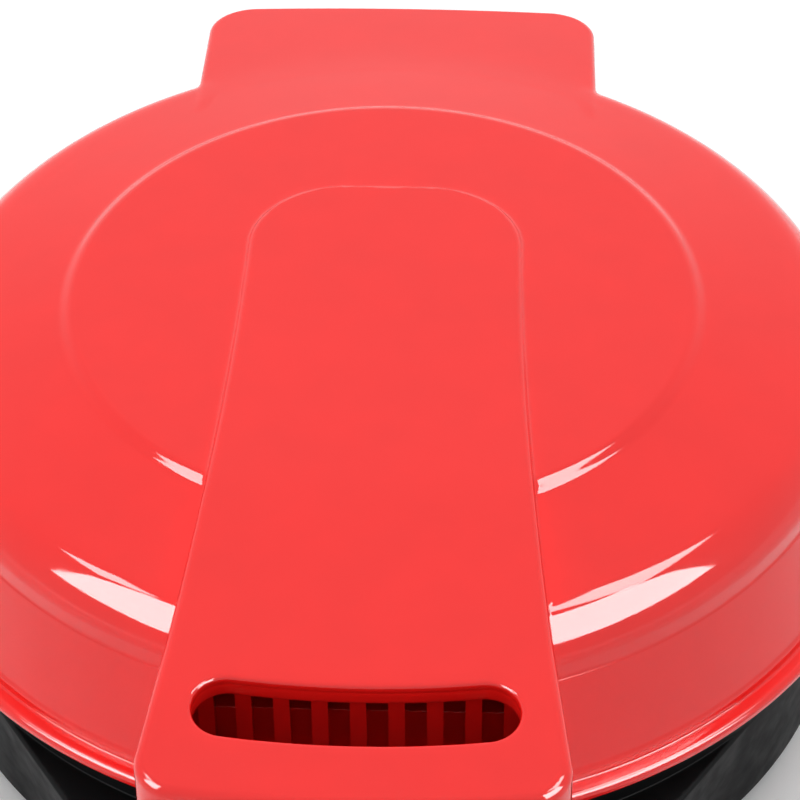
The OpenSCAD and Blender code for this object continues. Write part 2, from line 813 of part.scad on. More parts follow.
// Drawn sheet dish around a plate's back, open towards z = 0
module pan() {
    difference() {
        rotate_extrude($fn = fine) polygon([
            [0, pan_back], [pan_r, pan_back], [pan_r, pan_rim_h + sheet_t],
            [pan_rim_r, pan_rim_h + sheet_t], [pan_rim_r, pan_rim_h],
            [pan_r - sheet_t, pan_rim_h], [pan_r - sheet_t, pan_in], [0, pan_in]]);
        ring_of(corner_angles, pan_screw_reach) cylinder(r = screw_r + fit_gap, h = pan_back);
        ring_of(boss_angles, plate_boss_reach)
            cylinder(r = plate_screw_r + fit_gap, h = pan_back + over);
        heater_ends() cylinder(r = heater_end_r + 0.3, h = pan_back + over);
    }
}

module pan_screws() {
    ring_of(corner_angles, pan_screw_reach) translate([0, 0, pan_rim_h - seat_gap])
        mirror([0, 0, 1]) screw(screw_r, pan_boss_h - 3, screw_head_r, 1.2);
}

// Places a child at each of the heater's two ends
module heater_ends() {
    for (s = [-1, 1]) rotate(90 + s * heater_open / 2) translate([heater_r, 0, 0]) children();
}

// Baking plate with its ridges at ridge_tip and its bosses pointing away from z = 0
module plate() {
    lines = floor((plate_r - rim_w) / ridge_pitch);
    difference() {
        union() {
            translate([0, 0, plate_face]) cylinder(r = plate_r, h = plate_t, $fn = fine);
            rotate_extrude($fn = fine) translate([plate_r - rim_w, ridge_tip])
                square([rim_w, ridge_h + over]);
            translate([0, 0, ridge_tip]) linear_extrude(ridge_h + over / 2) intersection() {
                circle(r = plate_r - rim_w / 2, $fn = fine);
                for (a = [0, 90], i = [-lines : lines])
                    rotate(a) translate([-plate_r, i * ridge_pitch - ridge_w / 2])
                        square([2 * plate_r, ridge_w]);
            }
            rotate_extrude() translate([heater_r - heater_d, plate_back - over])
                square([2 * heater_d, heater_seat_h + over]);
            ring_of(boss_angles, plate_boss_reach) translate([0, 0, plate_back - over])
                cylinder(r = spacer_r + 1, h = plate_boss_h + over);
        }
        translate([0, 0, heater_h]) rotate_extrude() translate([heater_r, 0])
            circle(r = heater_d / 2 + fit_gap, $fn = 36);
        heater_ends() translate([0, 0, plate_back])
            cylinder(r = heater_end_r + fit_gap, h = heater_d);
        ring_of(boss_angles, plate_boss_reach) translate([0, 0, plate_back])
            cylinder(r = plate_screw_r + fit_gap, h = plate_boss_h + over);
    }
}

module heater() {
    rotate(90 + heater_open / 2) translate([0, 0, heater_h])
        rotate_extrude(angle = 360 - heater_open)
        translate([heater_r, 0]) circle(r = heater_d / 2, $fn = 36);
    heater_ends() {
        translate([0, 0, plate_back + fit_gap])
            cylinder(r = heater_end_r, h = pan_back + 2 - plate_back);
        translate([0, 0, heater_h]) cylinder(r = 1.2, h = heater_top_h - heater_h);
    }
}

module spacers() {
    ring_of(boss_angles, plate_boss_reach) translate([0, 0, plate_boss_top + seat_gap])
        difference() {
            cylinder(r = spacer_r, h = pan_in - plate_boss_top - 2 * seat_gap);
            translate([0, 0, -over])
                cylinder(r = plate_screw_r + fit_gap, h = pan_depth);
        }
}

module plate_screws() {
    ring_of(boss_angles, plate_boss_reach) translate([0, 0, pan_back + seat_gap])
        screw(plate_screw_r, pan_back - plate_back - 1, 3.5, 2);
}

module upper_pan() {
    color(steel) at_axis() pan();
}

module upper_pan_screws() {
    color(steel) at_axis() pan_screws();
}

module upper_plate() {
    color(coating) at_axis() plate();
}

module upper_element() {
    color(steel) at_axis() heater();
}

module upper_spacers() {
    color(steel) at_axis() spacers();
}

module upper_plate_screws() {
    color(steel) at_axis() plate_screws();
}

// Fuse in its clip on the back of the upper heat shield
module thermal_fuse() {
    color("#d8d2c4") at_axis() translate([0, 20, pan_back + seat_gap]) {
        translate([2 - fuse_l / 2, -3, 0]) cube([fuse_l - 4, 6, 1]);
        translate([-fuse_l / 2, 0, fuse_r + 0.7]) rotate([0, 90, 0]) cylinder(r = fuse_r, h = fuse_l);
    }
}

// Wires from the sleeve on the hinge axis to the upper heater and the fuse
module lid_wires() {
    end_x = heater_r * sin(heater_open / 2);
    end_y = heater_r * cos(heater_open / 2);
    run_h = heater_top_h + wire_r;
    color("#dcd6c8") at_axis() {
        for (s = [-1, 1]) {
            lane = s * 1.3;
            turn_x = sleeve_l / 2 + 4 + lane;
            wire([[3, hinge_y + lane, hinge_h], [sleeve_l / 3, hinge_y + lane, hinge_h],
                  [turn_x, hinge_y + lane, hinge_h],
                  [turn_x, hinge_y - 4 + lane, run_h - 4],
                  [turn_x + 1, end_y + 18, run_h], [s * end_x, end_y, run_h]]);
        }
        wire([[-end_x, end_y, run_h], [-8, 24, pan_back + 6], [-8, 20, pan_back + 3]]);
    }
}

// ---------------------------------------------------------------- base

// Box-like form whose two ends are bow outlines, drawn in by inset
module bow(inset) {
    top = deck_h - inset;
    low = bow_floor + inset;
    slant = (bow_root_x - bow_w / 2) / (bow_reach - bow_root_y);
    root_y = bow_root_y + 3 * inset;
    root_x = bow_root_x - over - (3 * slant + 1.2) * inset;
    hull() {
        for (s = [-1, 1]) {
            translate([s * (bow_w / 2 - bow_corner_r), bow_corner_r - bow_reach, top - over])
                cylinder(r = bow_corner_r - inset, h = over, $fn = 32);
            translate([s * (bow_w / 2 - bow_corner_r - bow_lean / 2),
                       bow_corner_r + bow_lean - bow_reach, low])
                cylinder(r = bow_corner_r - inset, h = over, $fn = 32);
            translate([s * root_x, -root_y, top - over]) cylinder(r = over, h = over, $fn = 8);
            translate([s * (root_x - bow_lean / 2), -root_y, low])
                cylinder(r = over, h = over, $fn = 8);
        }
    }
}

module base_drum() {
    chamfer = 1.5;
    rotate_extrude($fn = fine) polygon([
        [0, base_floor], [base_foot_r - chamfer, base_floor],
        [base_foot_r, base_floor + chamfer],
        [base_r - 1, -parting_gap - rim_band_h], [base_r, -parting_gap - rim_band_h],
        [base_r, -parting_gap], [0, -parting_gap]]);
}

module base_room() {
    rotate_extrude($fn = fine) polygon([
        [0, base_floor - over], [base_foot_r - wall, base_floor - over],
        [base_foot_r - wall, base_floor], [base_r - wall, -parting_gap - rim_band_h],
        [base_r - wall, over], [0, over]]);
}

// Outline of the saddle seen from above
module saddle_plan(inset = 0) {
    half = saddle_half_w - inset;
    corner = 8;
    translate([-half, ring_r]) square([2 * half, saddle_rear - ring_r - corner]);
    translate([-half + corner - inset, ring_r])
        square([2 * (half - corner + inset), saddle_rear - ring_r - inset]);
    for (s = [-1, 1]) translate([s * (half - corner + inset), saddle_rear - corner])
        circle(r = corner - inset);
}

// Ears around the hinge pins, and the cradle of the wire sleeve
module ears() {
    both_sides() translate([(ear_in + ear_out) / 2, 0, 0]) along_x(ear_t) {
        translate([hinge_y, hinge_h]) circle(r = ear_r);
        polygon([[hinge_y - ear_r, hinge_h], [hinge_y + ear_r, hinge_h],
                 [saddle_rear, saddle_top - over],
                 [hinge_y - ear_r - 4, saddle_top - over]]);
    }
    both_sides() translate([cradle_x, 0, 0]) along_x(cradle_t) {
        translate([hinge_y, hinge_h]) circle(r = sleeve_r + 1.8);
        translate([hinge_y - sleeve_r - 1.8, saddle_top - over])
            square([2 * sleeve_r + 3.6, hinge_h - saddle_top + over]);
    }
}

module base_shell() {
    plan_h = saddle_top - base_floor;
    boss_r = 3.6;
    boss_h = 12;
    color(black) at_axis() difference() {
        union() {
            difference() {
                union() {
                    base_drum();
                    bow(0);
                    translate([0, 0, base_floor]) linear_extrude(plan_h) saddle_plan();
                }
                base_room();
                bow(wall);
                translate([0, 0, base_floor + wall]) linear_extrude(plan_h - 2 * wall)
                    saddle_plan(wall);
                translate([-catch_half_w, -bow_reach - over, catch_top - catch_h])
                    cube([2 * catch_half_w, bow_lean + wall + over, catch_h]);
                translate([0, saddle_rear - 2 * wall, gland_z]) rotate([-90, 0, 0])
                    cylinder(r = gland_body_r + seat_gap, h = 3 * wall);
                translate([-sleeve_l / 2 - 5, hinge_y - 1, saddle_top - 2 * wall])
                    cylinder(r = 3.5, h = 3 * wall);
            }
            ears();
            intersection() {
                mirror([0, 0, 1]) pan_bosses();
                base_drum();
            }
            intersection() {
                ring_of(cover_angles, cover_screw_reach)
                    translate([0, 0, cover_top + seat_gap]) {
                        cylinder(r = boss_r, h = boss_h);
                        translate([0, -wall / 2, 0]) cube([base_r, wall, boss_h]);
                    }
                base_drum();
            }
        }
        ring_of(corner_angles, pan_screw_reach) translate([0, 0, -pan_rim_h - pan_boss_h])
            cylinder(r = screw_r + fit_gap, h = pan_boss_h + pan_rim_h);
        ring_of(cover_angles, cover_screw_reach) translate([0, 0, base_floor])
            cylinder(r = screw_r + fit_gap, h = bottom_t + boss_h - 2);
        translate([-housing_w, hinge_y, hinge_h]) rotate([0, 90, 0]) {
            translate([0, 0, housing_w - ear_out - over])
                cylinder(r = pin_r + fit_gap, h = ear_t + 2 * over);
            translate([0, 0, housing_w + ear_in - over])
                cylinder(r = pin_r + fit_gap, h = ear_t + 2 * over);
            translate([0, 0, housing_w - cradle_x - cradle_t])
                cylinder(r = sleeve_r + fit_gap, h = 2 * (cradle_x + cradle_t));
        }
    }
}

module hinge_pins() {
    head_l = 1.5;
    color(steel) at_axis() both_sides() translate([ear_in - seat_gap, hinge_y, hinge_h])
        rotate([0, 90, 0]) {
            translate([0, 0, -head_l]) cylinder(r = pin_r + 1.4, h = head_l);
            cylinder(r = pin_r, h = housing_w / 2 - wall / 2 - ear_in - 2 * seat_gap);
        }
}

module wire_sleeve() {
    color("#3b3b3b") at_axis() translate([-sleeve_l / 2, hinge_y, hinge_h])
        rotate([0, 90, 0]) difference() {
            cylinder(r = sleeve_r, h = sleeve_l);
            translate([0, 0, -over]) cylinder(r = sleeve_r - sleeve_t, h = sleeve_l + 2 * over);
        }
}

module lower_pan() {
    color(steel) at_axis() mirror([0, 0, 1]) pan();
}

module lower_pan_screws() {
    color(steel) at_axis() mirror([0, 0, 1]) pan_screws();
}

module lower_plate() {
    color(coating) at_axis() mirror([0, 0, 1]) plate();
}

module lower_element() {
    color(steel) at_axis() mirror([0, 0, 1]) heater();
}

module lower_spacers() {
    color(steel) at_axis() mirror([0, 0, 1]) spacers();
}

module lower_plate_screws() {
    color(steel) at_axis() mirror([0, 0, 1]) plate_screws();
}

// Bimetal thermostat against the back of the lower plate
module thermostat() {
    color("#c9c1ae") at_axis() mirror([0, 0, 1]) translate([0, 0, plate_back + seat_gap]) {
        cylinder(r = stat_r + 1.5, h = 2);
        cylinder(r = stat_r, h = stat_h);
        for (s = [-1, 1]) translate([s * stat_r / 2 - tab_t / 2, -tab_w / 2, stat_h - over])
            cube([tab_t, tab_w, tab_w]);
    }
}

module terminal_block() {
    color("#e6e2d6") at_axis() translate([0, block_y, cover_top + seat_gap]) difference() {
        translate([-block_w / 2, -block_d / 2, 0]) cube([block_w, block_d, block_h]);
        for (x = [-block_pitch, 0, block_pitch]) {
            translate([x, -block_d, block_h / 2]) rotate([-90, 0, 0])
                cylinder(r = wire_r + 0.8, h = 2 * block_d);
            translate([x, 0, block_h / 2]) cylinder(r = screw_r + 0.1, h = block_h);
        }
    }
}

// Wires from the terminal block to the lower heater and up to the sleeve
module base_wires() {
    end_x = heater_r * sin(heater_open / 2);
    end_y = heater_r * cos(heater_open / 2);
    run_h = -heater_top_h - wire_r;
    port_h = cover_top + seat_gap + block_h / 2;
    port_y = block_y + block_d / 2 - 2;
    hole_x = -sleeve_l / 2 - 5;
    lane_y = block_y + 10.5;
    color("#dcd6c8") at_axis() {
        for (s = [-1, 1])
            wire([[s * block_pitch, port_y, port_h], [s * block_pitch, port_y + 3, port_h],
                  [s * block_pitch, lane_y, port_h], [s * 19, lane_y, port_h],
                  [s * end_x, end_y + 8, run_h], [s * end_x, end_y, run_h]]);
        wire([[0, port_y, port_h], [0, port_y + 3, port_h], [0, lane_y + 4, port_h],
              [-17, lane_y + 4, port_h], [hole_x, lane_y + 13, port_h],
              [hole_x, hinge_y, port_h + 3], [hole_x, hinge_y, saddle_top - 4],
              [hole_x, hinge_y, hinge_h], [-sleeve_l / 2, hinge_y, hinge_h],
              [-3, hinge_y, hinge_h]]);
    }
}

// Bush in the saddle's rear wall, with the hole that the cord comes out of
module cord_gland() {
    color("#1c1c1c") at_axis() translate([0, saddle_rear, gland_z]) rotate([-90, 0, 0])
        difference() {
            union() {
                translate([0, 0, seat_gap]) cylinder(r = gland_flange_r, h = gland_out - seat_gap);
                translate([0, 0, -gland_in]) cylinder(r = gland_body_r, h = gland_in + over);
                translate([0, 0, -gland_in])
                    cylinder(r = gland_body_r + 1.2, h = gland_in - wall - seat_gap);
            }
            translate([0, 0, -gland_in - over])
                cylinder(r = cord_r, h = gland_in + gland_out + 2 * over);
        }
}

// Bar that grips the cord inside the base, on two posts of the bottom cover
module cord_clamp() {
    color("#3a3a3a") at_axis() translate([0, clamp_y, cover_top + clamp_h + seat_gap])
        difference() {
            translate([-clamp_x - 4, -clamp_w / 2, 0]) cube([2 * clamp_x + 8, clamp_w, clamp_bar_t]);
            both_sides() translate([clamp_x, 0, -over])
                cylinder(r = screw_r + fit_gap, h = clamp_bar_t + 2 * over);
        }
}

module clamp_screws() {
    color(steel) at_axis() both_sides()
        translate([clamp_x, clamp_y, cover_top + clamp_h + clamp_bar_t + 2 * seat_gap])
        screw(screw_r, clamp_bar_t + clamp_h, screw_head_r, screw_head_h);
}

module bottom_cover() {
    vent_l = 26;
    color(black) at_axis() difference() {
        union() {
            translate([0, 0, cover_top - bottom_t]) cylinder(r = cover_r, h = bottom_t, $fn = fine);
            both_sides() translate([clamp_x, clamp_y, cover_top - over])
                cylinder(r = 3.4, h = clamp_h + over);
        }
        ring_of(cover_angles, cover_screw_reach) translate([0, 0, base_floor])
            cylinder(r = screw_r + fit_gap, h = 2 * bottom_t);
        ring_of(corner_angles, foot_reach) translate([0, 0, base_floor])
            cylinder(r = 2.5 + fit_gap, h = 2 * bottom_t);
        both_sides() translate([clamp_x, clamp_y, cover_top - 0.5])
            cylinder(r = screw_r + fit_gap, h = clamp_h + over);
        for (i = [-3 : 3]) translate([-vent_l / 2, i * 8 - 1.5, base_floor])
            cube([vent_l, 3, 2 * bottom_t]);
    }
}

module cover_screws() {
    color(steel) at_axis() ring_of(cover_angles, cover_screw_reach)
        translate([0, 0, cover_top - bottom_t - seat_gap])
        mirror([0, 0, 1]) screw(screw_r, bottom_t + cover_grip, screw_head_r, screw_head_h);
}

module rubber_feet() {
    foot_h = parting_h + cover_top - bottom_t - seat_gap;
    color("#202020") at_axis() ring_of(corner_angles, foot_reach)
        translate([0, 0, -parting_h]) {
            cylinder(r1 = foot_r - 1, r2 = foot_r, h = foot_h);
            translate([0, 0, foot_h - over]) cylinder(r = 2.5, h = bottom_t + over);
        }
}

lid_shell();
vent_grille();
handle_cover();
handle_screws();
latch();
latch_pin();
power_lens();
ready_lens();
indicator_lamps();
lamp_leads();
upper_pan();
upper_pan_screws();
upper_plate();
upper_element();
upper_spacers();
upper_plate_screws();
thermal_fuse();
lid_wires();
base_shell();
hinge_pins();
wire_sleeve();
lower_pan();
lower_pan_screws();
lower_plate();
lower_element();
lower_spacers();
lower_plate_screws();
thermostat();
terminal_block();
base_wires();
cord_gland();
cord_clamp();
clamp_screws();
bottom_cover();
cover_screws();
rubber_feet();
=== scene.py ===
"""Looks of the waffle cone maker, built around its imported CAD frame."""

import json
import math

import bpy
import numpy as np
from mathutils import Matrix, Vector


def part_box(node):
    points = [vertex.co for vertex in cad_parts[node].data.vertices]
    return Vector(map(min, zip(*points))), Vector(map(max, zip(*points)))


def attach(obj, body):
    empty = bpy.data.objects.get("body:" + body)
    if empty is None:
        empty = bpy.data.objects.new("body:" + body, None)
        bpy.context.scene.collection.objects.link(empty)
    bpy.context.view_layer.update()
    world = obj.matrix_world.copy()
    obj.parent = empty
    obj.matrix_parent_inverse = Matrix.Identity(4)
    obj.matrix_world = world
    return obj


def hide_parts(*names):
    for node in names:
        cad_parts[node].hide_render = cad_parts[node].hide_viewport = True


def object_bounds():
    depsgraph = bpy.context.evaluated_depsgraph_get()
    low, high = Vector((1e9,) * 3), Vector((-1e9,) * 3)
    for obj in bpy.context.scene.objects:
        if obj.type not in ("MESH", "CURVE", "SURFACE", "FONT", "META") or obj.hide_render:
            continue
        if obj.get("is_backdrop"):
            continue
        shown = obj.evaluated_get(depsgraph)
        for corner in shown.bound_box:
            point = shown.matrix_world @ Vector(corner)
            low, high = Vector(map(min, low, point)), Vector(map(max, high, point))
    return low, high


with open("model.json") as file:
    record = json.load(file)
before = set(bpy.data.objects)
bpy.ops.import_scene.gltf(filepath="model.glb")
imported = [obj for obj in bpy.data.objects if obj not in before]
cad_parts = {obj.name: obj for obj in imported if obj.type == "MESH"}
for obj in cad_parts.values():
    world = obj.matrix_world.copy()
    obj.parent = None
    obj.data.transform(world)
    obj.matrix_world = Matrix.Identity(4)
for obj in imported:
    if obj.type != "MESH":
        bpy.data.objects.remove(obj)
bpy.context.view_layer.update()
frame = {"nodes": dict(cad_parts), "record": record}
NODES = frame["nodes"]
MM = 0.001

# The plates' axis and the parting plane, which most sizes below are measured from
_upper, _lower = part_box("upper_plate"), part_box("lower_plate")
AXIS_Y = (_upper[0].y + _upper[1].y) / 2 / MM
PARTING = (_upper[0].z + _lower[1].z) / 2 / MM

# ------------------------------------------------------------------ sizes, in millimetres
# Heights are above the parting plane, and y counts backwards from the plates' axis.
WALL = 2.4
FLANGE_R, BEAD_R = 107.5, 104.0
LOW_BEAD_H, HIGH_BEAD_H = 2.6, 3.0
SKIRT_H, SKIRT_R = 5.6, 103.0
CREASE_H, CREASE_R = 25.9, 98.2
SHOULDER_W, SHOULDER_H, SHOULDER_FOOT, SHOULDER_POWER = 11.5, 10.5, 29.5, 1.6
DOME_EDGE, SKIRT_OUT, SKIRT_EDGE, CREASE_FILLET = 1.2, 0.32, 0.55, 0.6
BEAD_FILLET, FOOT_IN, FOOT_EDGE = 0.5, 0.15, 0.4
DISC_R, DISC_H, CROWN_H = 64.0, 44.5, 0.8
RING_R, RING_H, RING_FALL = 67.0, 43.0, 0.18548
CONE_COS = 0.983                                         # cosine of the cone's slope
TONGUE_H = 46.4
TONGUE_HALF, TONGUE_MID_HALF, ARCH_Y, ARCH_END, ARCH_R = 28.7, 31.8, 14.0, 34.0, 20.0
TONGUE_FALLS = ((0.0433, 62, 3), (0.078, 111.05, 2))     # (slope, where it starts, rounding)
TONGUE_EDGE, TONGUE_EDGE_GAIN, TONGUE_UNDER_EDGE, TONGUE_FILLET = 1.3, 0.7, 0.7, 1.5
HANDLE_HALF, HANDLE_FRONT, BOW_R, FRONT_CORNER = 40.2, 136.5, 250.0, 7.5
UNDER_H, COVER_T, HANDLE_BACK, PASSAGE_H = 10.0, 2.4, 103.2, 29.6
SLOT_REACH, SLOT_HALF, SLOT_BEND, SLOT_L = 117.2, 6.15, 180.0, 58.8
SLOT_LIP_W, SLOT_LIP_H, SLOT_MOUTH = 1.4, 5, 2.0
ROOF = 1.2                                               # left above posts and the slot's lip
HINGE_Y, HINGE_H, CHEEK_R, CHEEK_IN, CHEEK_OUT = 110.0, 3.0, 8.0, 40.6, 44
HOUSING_HALF, HOUSING_REAR, HOUSING_CORNER, HOUSING_RISE = 45.4, 118.0, 10.5, 1.6
RISE_R, HOUSING_SINK, HOUSING_EDGE = 91.8, 2.5, 1.4      # HOUSING_SINK hides its inner end
BACK_ROOM_Y, REAR_GAP, REAR_GAP_H = 89.4, 7.5, 9
ROOM_EDGE, ROOM_SLACK, BACK_ROOM_SLACK = 0.4, 0.5, 0.3
POST_X, POST_Y, POST_R, POST_GAP = 33.3, 128.0, 3.2, 0.1
SHIELD_XY, SHIELD_BOSS_R, SHIELD_LOW, SHIELD_HIGH = 68.3, 3.2, 2.4, 13.4
PIVOT_Y, PIVOT_H = -140.7, 22.0
LUG_R, LUG_ROOT, LUG_X, LUG_HALF, LUG_EDGE, LUG_FILLET = 3.5, 4.7, 14, 1.6, 0.5, 0.6
DEEP = -50                                               # a distance well inside


# ------------------------------------------------------------------ distance fields
def smin(a, b, k):
    """Smooth union of two distances, with a fillet of about 0.6 k."""
    h = np.maximum(k - np.abs(a - b), 0) / k
    return np.minimum(a, b) - h * h * h * (k / 6)


def smax(a, b, k):
    return -smin(-a, -b, k)


def round_max(a, b, r):
    """Intersection whose edge is rounded to radius r."""
    u, v = np.maximum(a + r, 0), np.maximum(b + r, 0)
    return np.minimum(np.maximum(a, b), -r) + np.hypot(u, v)


def ease(x, low, high):
    t = np.clip((x - low) / (high - low), 0, 1)
    return t * t * t * (t * (6 * t - 15) + 10)


def ramp(u, w):
    """Zero below u = 0 and u above it, rounded over about w."""
    return w * np.logaddexp(0, u / w)


def rounded_box(x, y, hx, hy, r):
    qx, qy = np.abs(x) - hx + r, np.abs(y) - hy + r
    return np.hypot(np.maximum(qx, 0), np.maximum(qy, 0)) + np.minimum(np.maximum(qx, qy), 0) - r


def circle_through(a, b, c):
    (ax, ay), (bx, by), (cx, cy) = a, b, c
    d = 2 * (ax * (by - cy) + bx * (cy - ay) + cx * (ay - by))
    a2, b2, c2 = ax * ax + ay * ay, bx * bx + by * by, cx * cx + cy * cy
    x = (a2 * (by - cy) + b2 * (cy - ay) + c2 * (ay - by)) / d
    y = (a2 * (cx - bx) + b2 * (ax - cx) + c2 * (bx - ax)) / d
    return x, y, math.hypot(ax - x, ay - y)


FLANK = circle_through((TONGUE_HALF, ARCH_Y),
                       (TONGUE_MID_HALF, (ARCH_Y - HANDLE_FRONT) / 2),
                       (HANDLE_HALF, -HANDLE_FRONT))


def lid_top(r):
    """Height of the lid's top: crowned disc, sloping ring and cone outside it."""
    disc = DISC_H + CROWN_H * (1 - (r / DISC_R) ** 2)
    cone = RING_H - RING_FALL * (r - RING_R)
    s = ease(r, DISC_R - 0.6, RING_R + 0.6)
    return disc * (1 - s) + cone * s


def lid_body(r, z):
    """Dome and skirt of the lid, without its beads and open downwards."""
    u = np.maximum((r - CREASE_R + SHOULDER_W) / SHOULDER_W, 1e-4)
    high = SHOULDER_H + 0.5 * np.maximum(CREASE_R - SHOULDER_W - r, 0)
    v = np.maximum((z - SHOULDER_FOOT) / high, 0) + 1e-4
    q = (u ** SHOULDER_POWER + v ** SHOULDER_POWER) ** (1 / SHOULDER_POWER)
    slope = np.hypot((u / q) ** (SHOULDER_POWER - 1) / SHOULDER_W,
                     (v / q) ** (SHOULDER_POWER - 1) / SHOULDER_H)
    shoulder = (q - 1) / slope
    dome = smax(shoulder, (z - lid_top(r)) * CONE_COS, DOME_EDGE)
    lean = (SKIRT_R - CREASE_R) / (CREASE_H - SKIRT_H)
    skirt = (r - SKIRT_R - SKIRT_OUT + lean * (z - SKIRT_H)) / math.hypot(1, lean)
    skirt = smax(skirt, z - CREASE_H - 0.1, SKIRT_EDGE)
    return smin(dome, skirt, CREASE_FILLET)


def tongue_plan(x, y):
    """Distance to the outline of tongue and handle, seen from above."""
    side = FLANK[2] - np.hypot(np.abs(x) - FLANK[0], y - FLANK[1])
    front = np.hypot(x, y + HANDLE_FRONT - BOW_R) - BOW_R
    front = np.where(y < 0, front, DEEP)
    outline = round_max(side, front, FRONT_CORNER)
    arch = rounded_box(x, y, TONGUE_HALF, ARCH_END, ARCH_R)
    return np.where(y > ARCH_Y, arch, outline)


def tongue_top(y):
    fall = sum(slope * ramp(-start - y, w) for slope, start, w in TONGUE_FALLS)
    return TONGUE_H - fall


def slot_plan(x, y):
    """Distance to the curved slot in the handle, seen from above."""
    half_angle = math.asin((SLOT_L / 2 - SLOT_HALF) / SLOT_BEND)
    cy = SLOT_BEND - SLOT_REACH
    angle = np.arctan2(np.abs(x), cy - y)
    ends = np.hypot(np.abs(x) - SLOT_BEND * math.sin(half_angle),
                    y - cy + SLOT_BEND * math.cos(half_angle))
    along = np.abs(np.hypot(x, y - cy) - SLOT_BEND)
    return np.where(angle > half_angle, ends, along) - SLOT_HALF


def cylinder_x(x, y, z, at, r, low, high):
    """Cylinder along X around (y, z) = at, between |x| = low and high."""
    return np.maximum(np.hypot(y - at[0], z - at[1]) - r,
                      np.maximum(low - np.abs(x), np.abs(x) - high))


def housing_top(r):
    """Height of the hinge housing's top, which leaves the lid's cone towards its rear."""
    cone = RING_H - RING_FALL * (r - RING_R) - HOUSING_SINK * (1 - ease(r, 67, 88))
    return cone + HOUSING_RISE * ramp(r - RISE_R, 3) / (HOUSING_REAR - RISE_R)


def lid_field(x, y, z):
    """Distance to the lid's moulding, in millimetres from the plates' axis."""
    r = np.hypot(x, y)
    body = lid_body(r, z)
    outer = smax(body, -z, BEAD_FILLET)
    for edge, low, h in ((FLANGE_R, 0, LOW_BEAD_H), (BEAD_R, LOW_BEAD_H, HIGH_BEAD_H)):
        rad = h / 2
        across = np.maximum(r - edge + rad, 0)
        bead = np.hypot(across, z - low - rad) - rad
        if low == 0:
            foot = round_max(r - edge + FOOT_IN, np.maximum(-z, z - rad), FOOT_EDGE)
            bead = np.minimum(bead, foot)
        bead = np.maximum(bead, SKIRT_R - WALL - r)
        outer = smin(outer, bead, BEAD_FILLET)
    # tongue and handle
    plan = tongue_plan(x, y)
    top = tongue_top(y)
    edge_r = TONGUE_EDGE + TONGUE_EDGE_GAIN * ease(-y, 60, 112)
    tongue = round_max(plan, z - top, edge_r)
    tongue = round_max(tongue, UNDER_H - z, TONGUE_UNDER_EDGE)
    outer = smin(outer, tongue, TONGUE_FILLET)
    # hinge housing
    house = rounded_box(x, y - (HOUSING_REAR + RING_R) / 2, HOUSING_HALF,
                        (HOUSING_REAR - RING_R) / 2, HOUSING_CORNER)
    house = np.where(y > 95, house, np.maximum(np.abs(x) - HOUSING_HALF, RING_R - y))
    roof = housing_top(r)
    house = round_max(house, (z - roof) * CONE_COS, HOUSING_EDGE)
    low = np.minimum(np.hypot(y - HINGE_Y, z - HINGE_H) - CHEEK_R,
                     np.where(y > HINGE_Y, HINGE_H - z, -z))
    house = smax(house, low, 0.8)
    outer = smin(outer, house, 0.05 + 1.15 * ease(np.abs(x), 40, 44))
    # rooms inside
    room = np.maximum(body + WALL, z - RING_H - ROOM_SLACK)
    way = np.minimum(y + HANDLE_BACK, np.maximum(PASSAGE_H - z, y + RING_R))
    handle_room = np.maximum(np.maximum(plan + WALL, z - top + WALL), way)
    back_room = np.maximum(np.abs(x) - HOUSING_HALF + WALL, y - HOUSING_REAR + WALL)
    back_room = np.maximum(back_room, z - roof + WALL + BACK_ROOM_SLACK)
    back_room = np.maximum(back_room, BACK_ROOM_Y - y)
    rear_gap = np.maximum(np.abs(x) - HOUSING_HALF + WALL, HINGE_Y - REAR_GAP - y)
    rear_gap = np.maximum(rear_gap, z - HINGE_H - REAR_GAP_H)
    rooms = np.minimum(np.minimum(room, handle_room), np.minimum(back_room, rear_gap))
    solid = smax(outer, -rooms, ROOM_EDGE)
    # lip around the slot, posts of the handle cover, bosses of the heat shield
    slot = slot_plan(x, y)
    lip = np.maximum(np.maximum(slot - SLOT_LIP_W, z - top + ROOF), top - SLOT_LIP_H - z)
    solid = smin(solid, lip, ROOM_EDGE)
    post = np.hypot(np.abs(x) - POST_X, y + POST_Y) - POST_R
    post = np.maximum(np.maximum(post, z - top + ROOF), UNDER_H + COVER_T + POST_GAP - z)
    solid = np.minimum(solid, post)
    screw = np.hypot(np.abs(x) - SHIELD_XY, np.abs(y) - SHIELD_XY)
    boss = np.maximum(np.maximum(screw - SHIELD_BOSS_R, SHIELD_LOW - z), z - SHIELD_HIGH)
    solid = np.minimum(solid, boss)
    # hinge cheeks and the latch's lugs
    cheek = cylinder_x(x, y, z, (HINGE_Y, HINGE_H), CHEEK_R - 1, CHEEK_IN, CHEEK_OUT)
    solid = np.minimum(solid, cheek)
    root = np.maximum(np.abs(z - PIVOT_H) - LUG_R, np.abs(y - PIVOT_Y - LUG_ROOT) - LUG_ROOT)
    lug = np.minimum(np.hypot(y - PIVOT_Y, z - PIVOT_H) - LUG_R, root)
    lug = smax(lug, np.abs(np.abs(x) - LUG_X) - LUG_HALF, LUG_EDGE)
    solid = smin(solid, lug, LUG_FILLET)
    return smax(solid, -slot, SLOT_MOUTH)


# ------------------------------------------------------------------ meshing of a field
ROWS_AT_ONCE = 16                                        # lattice rows valued in one go


def spaced(start, *runs):
    """Lattice values from start: each run is (end, step)."""
    out = [start]
    for end, step in runs:
        n = max(1, round((end - start) / step))
        out += list(np.linspace(start, end, n + 1)[1:])
        start = end
    return np.array(out)


def gradient(field, p):
    """Gradient of a field at points, from differences over a hundredth of a millimetre."""
    d = 0.01
    g = [field(*(p + d * np.eye(3)[i]).T) - field(*(p - d * np.eye(3)[i]).T) for i in range(3)]
    return np.stack(g, 1) / (2 * d)


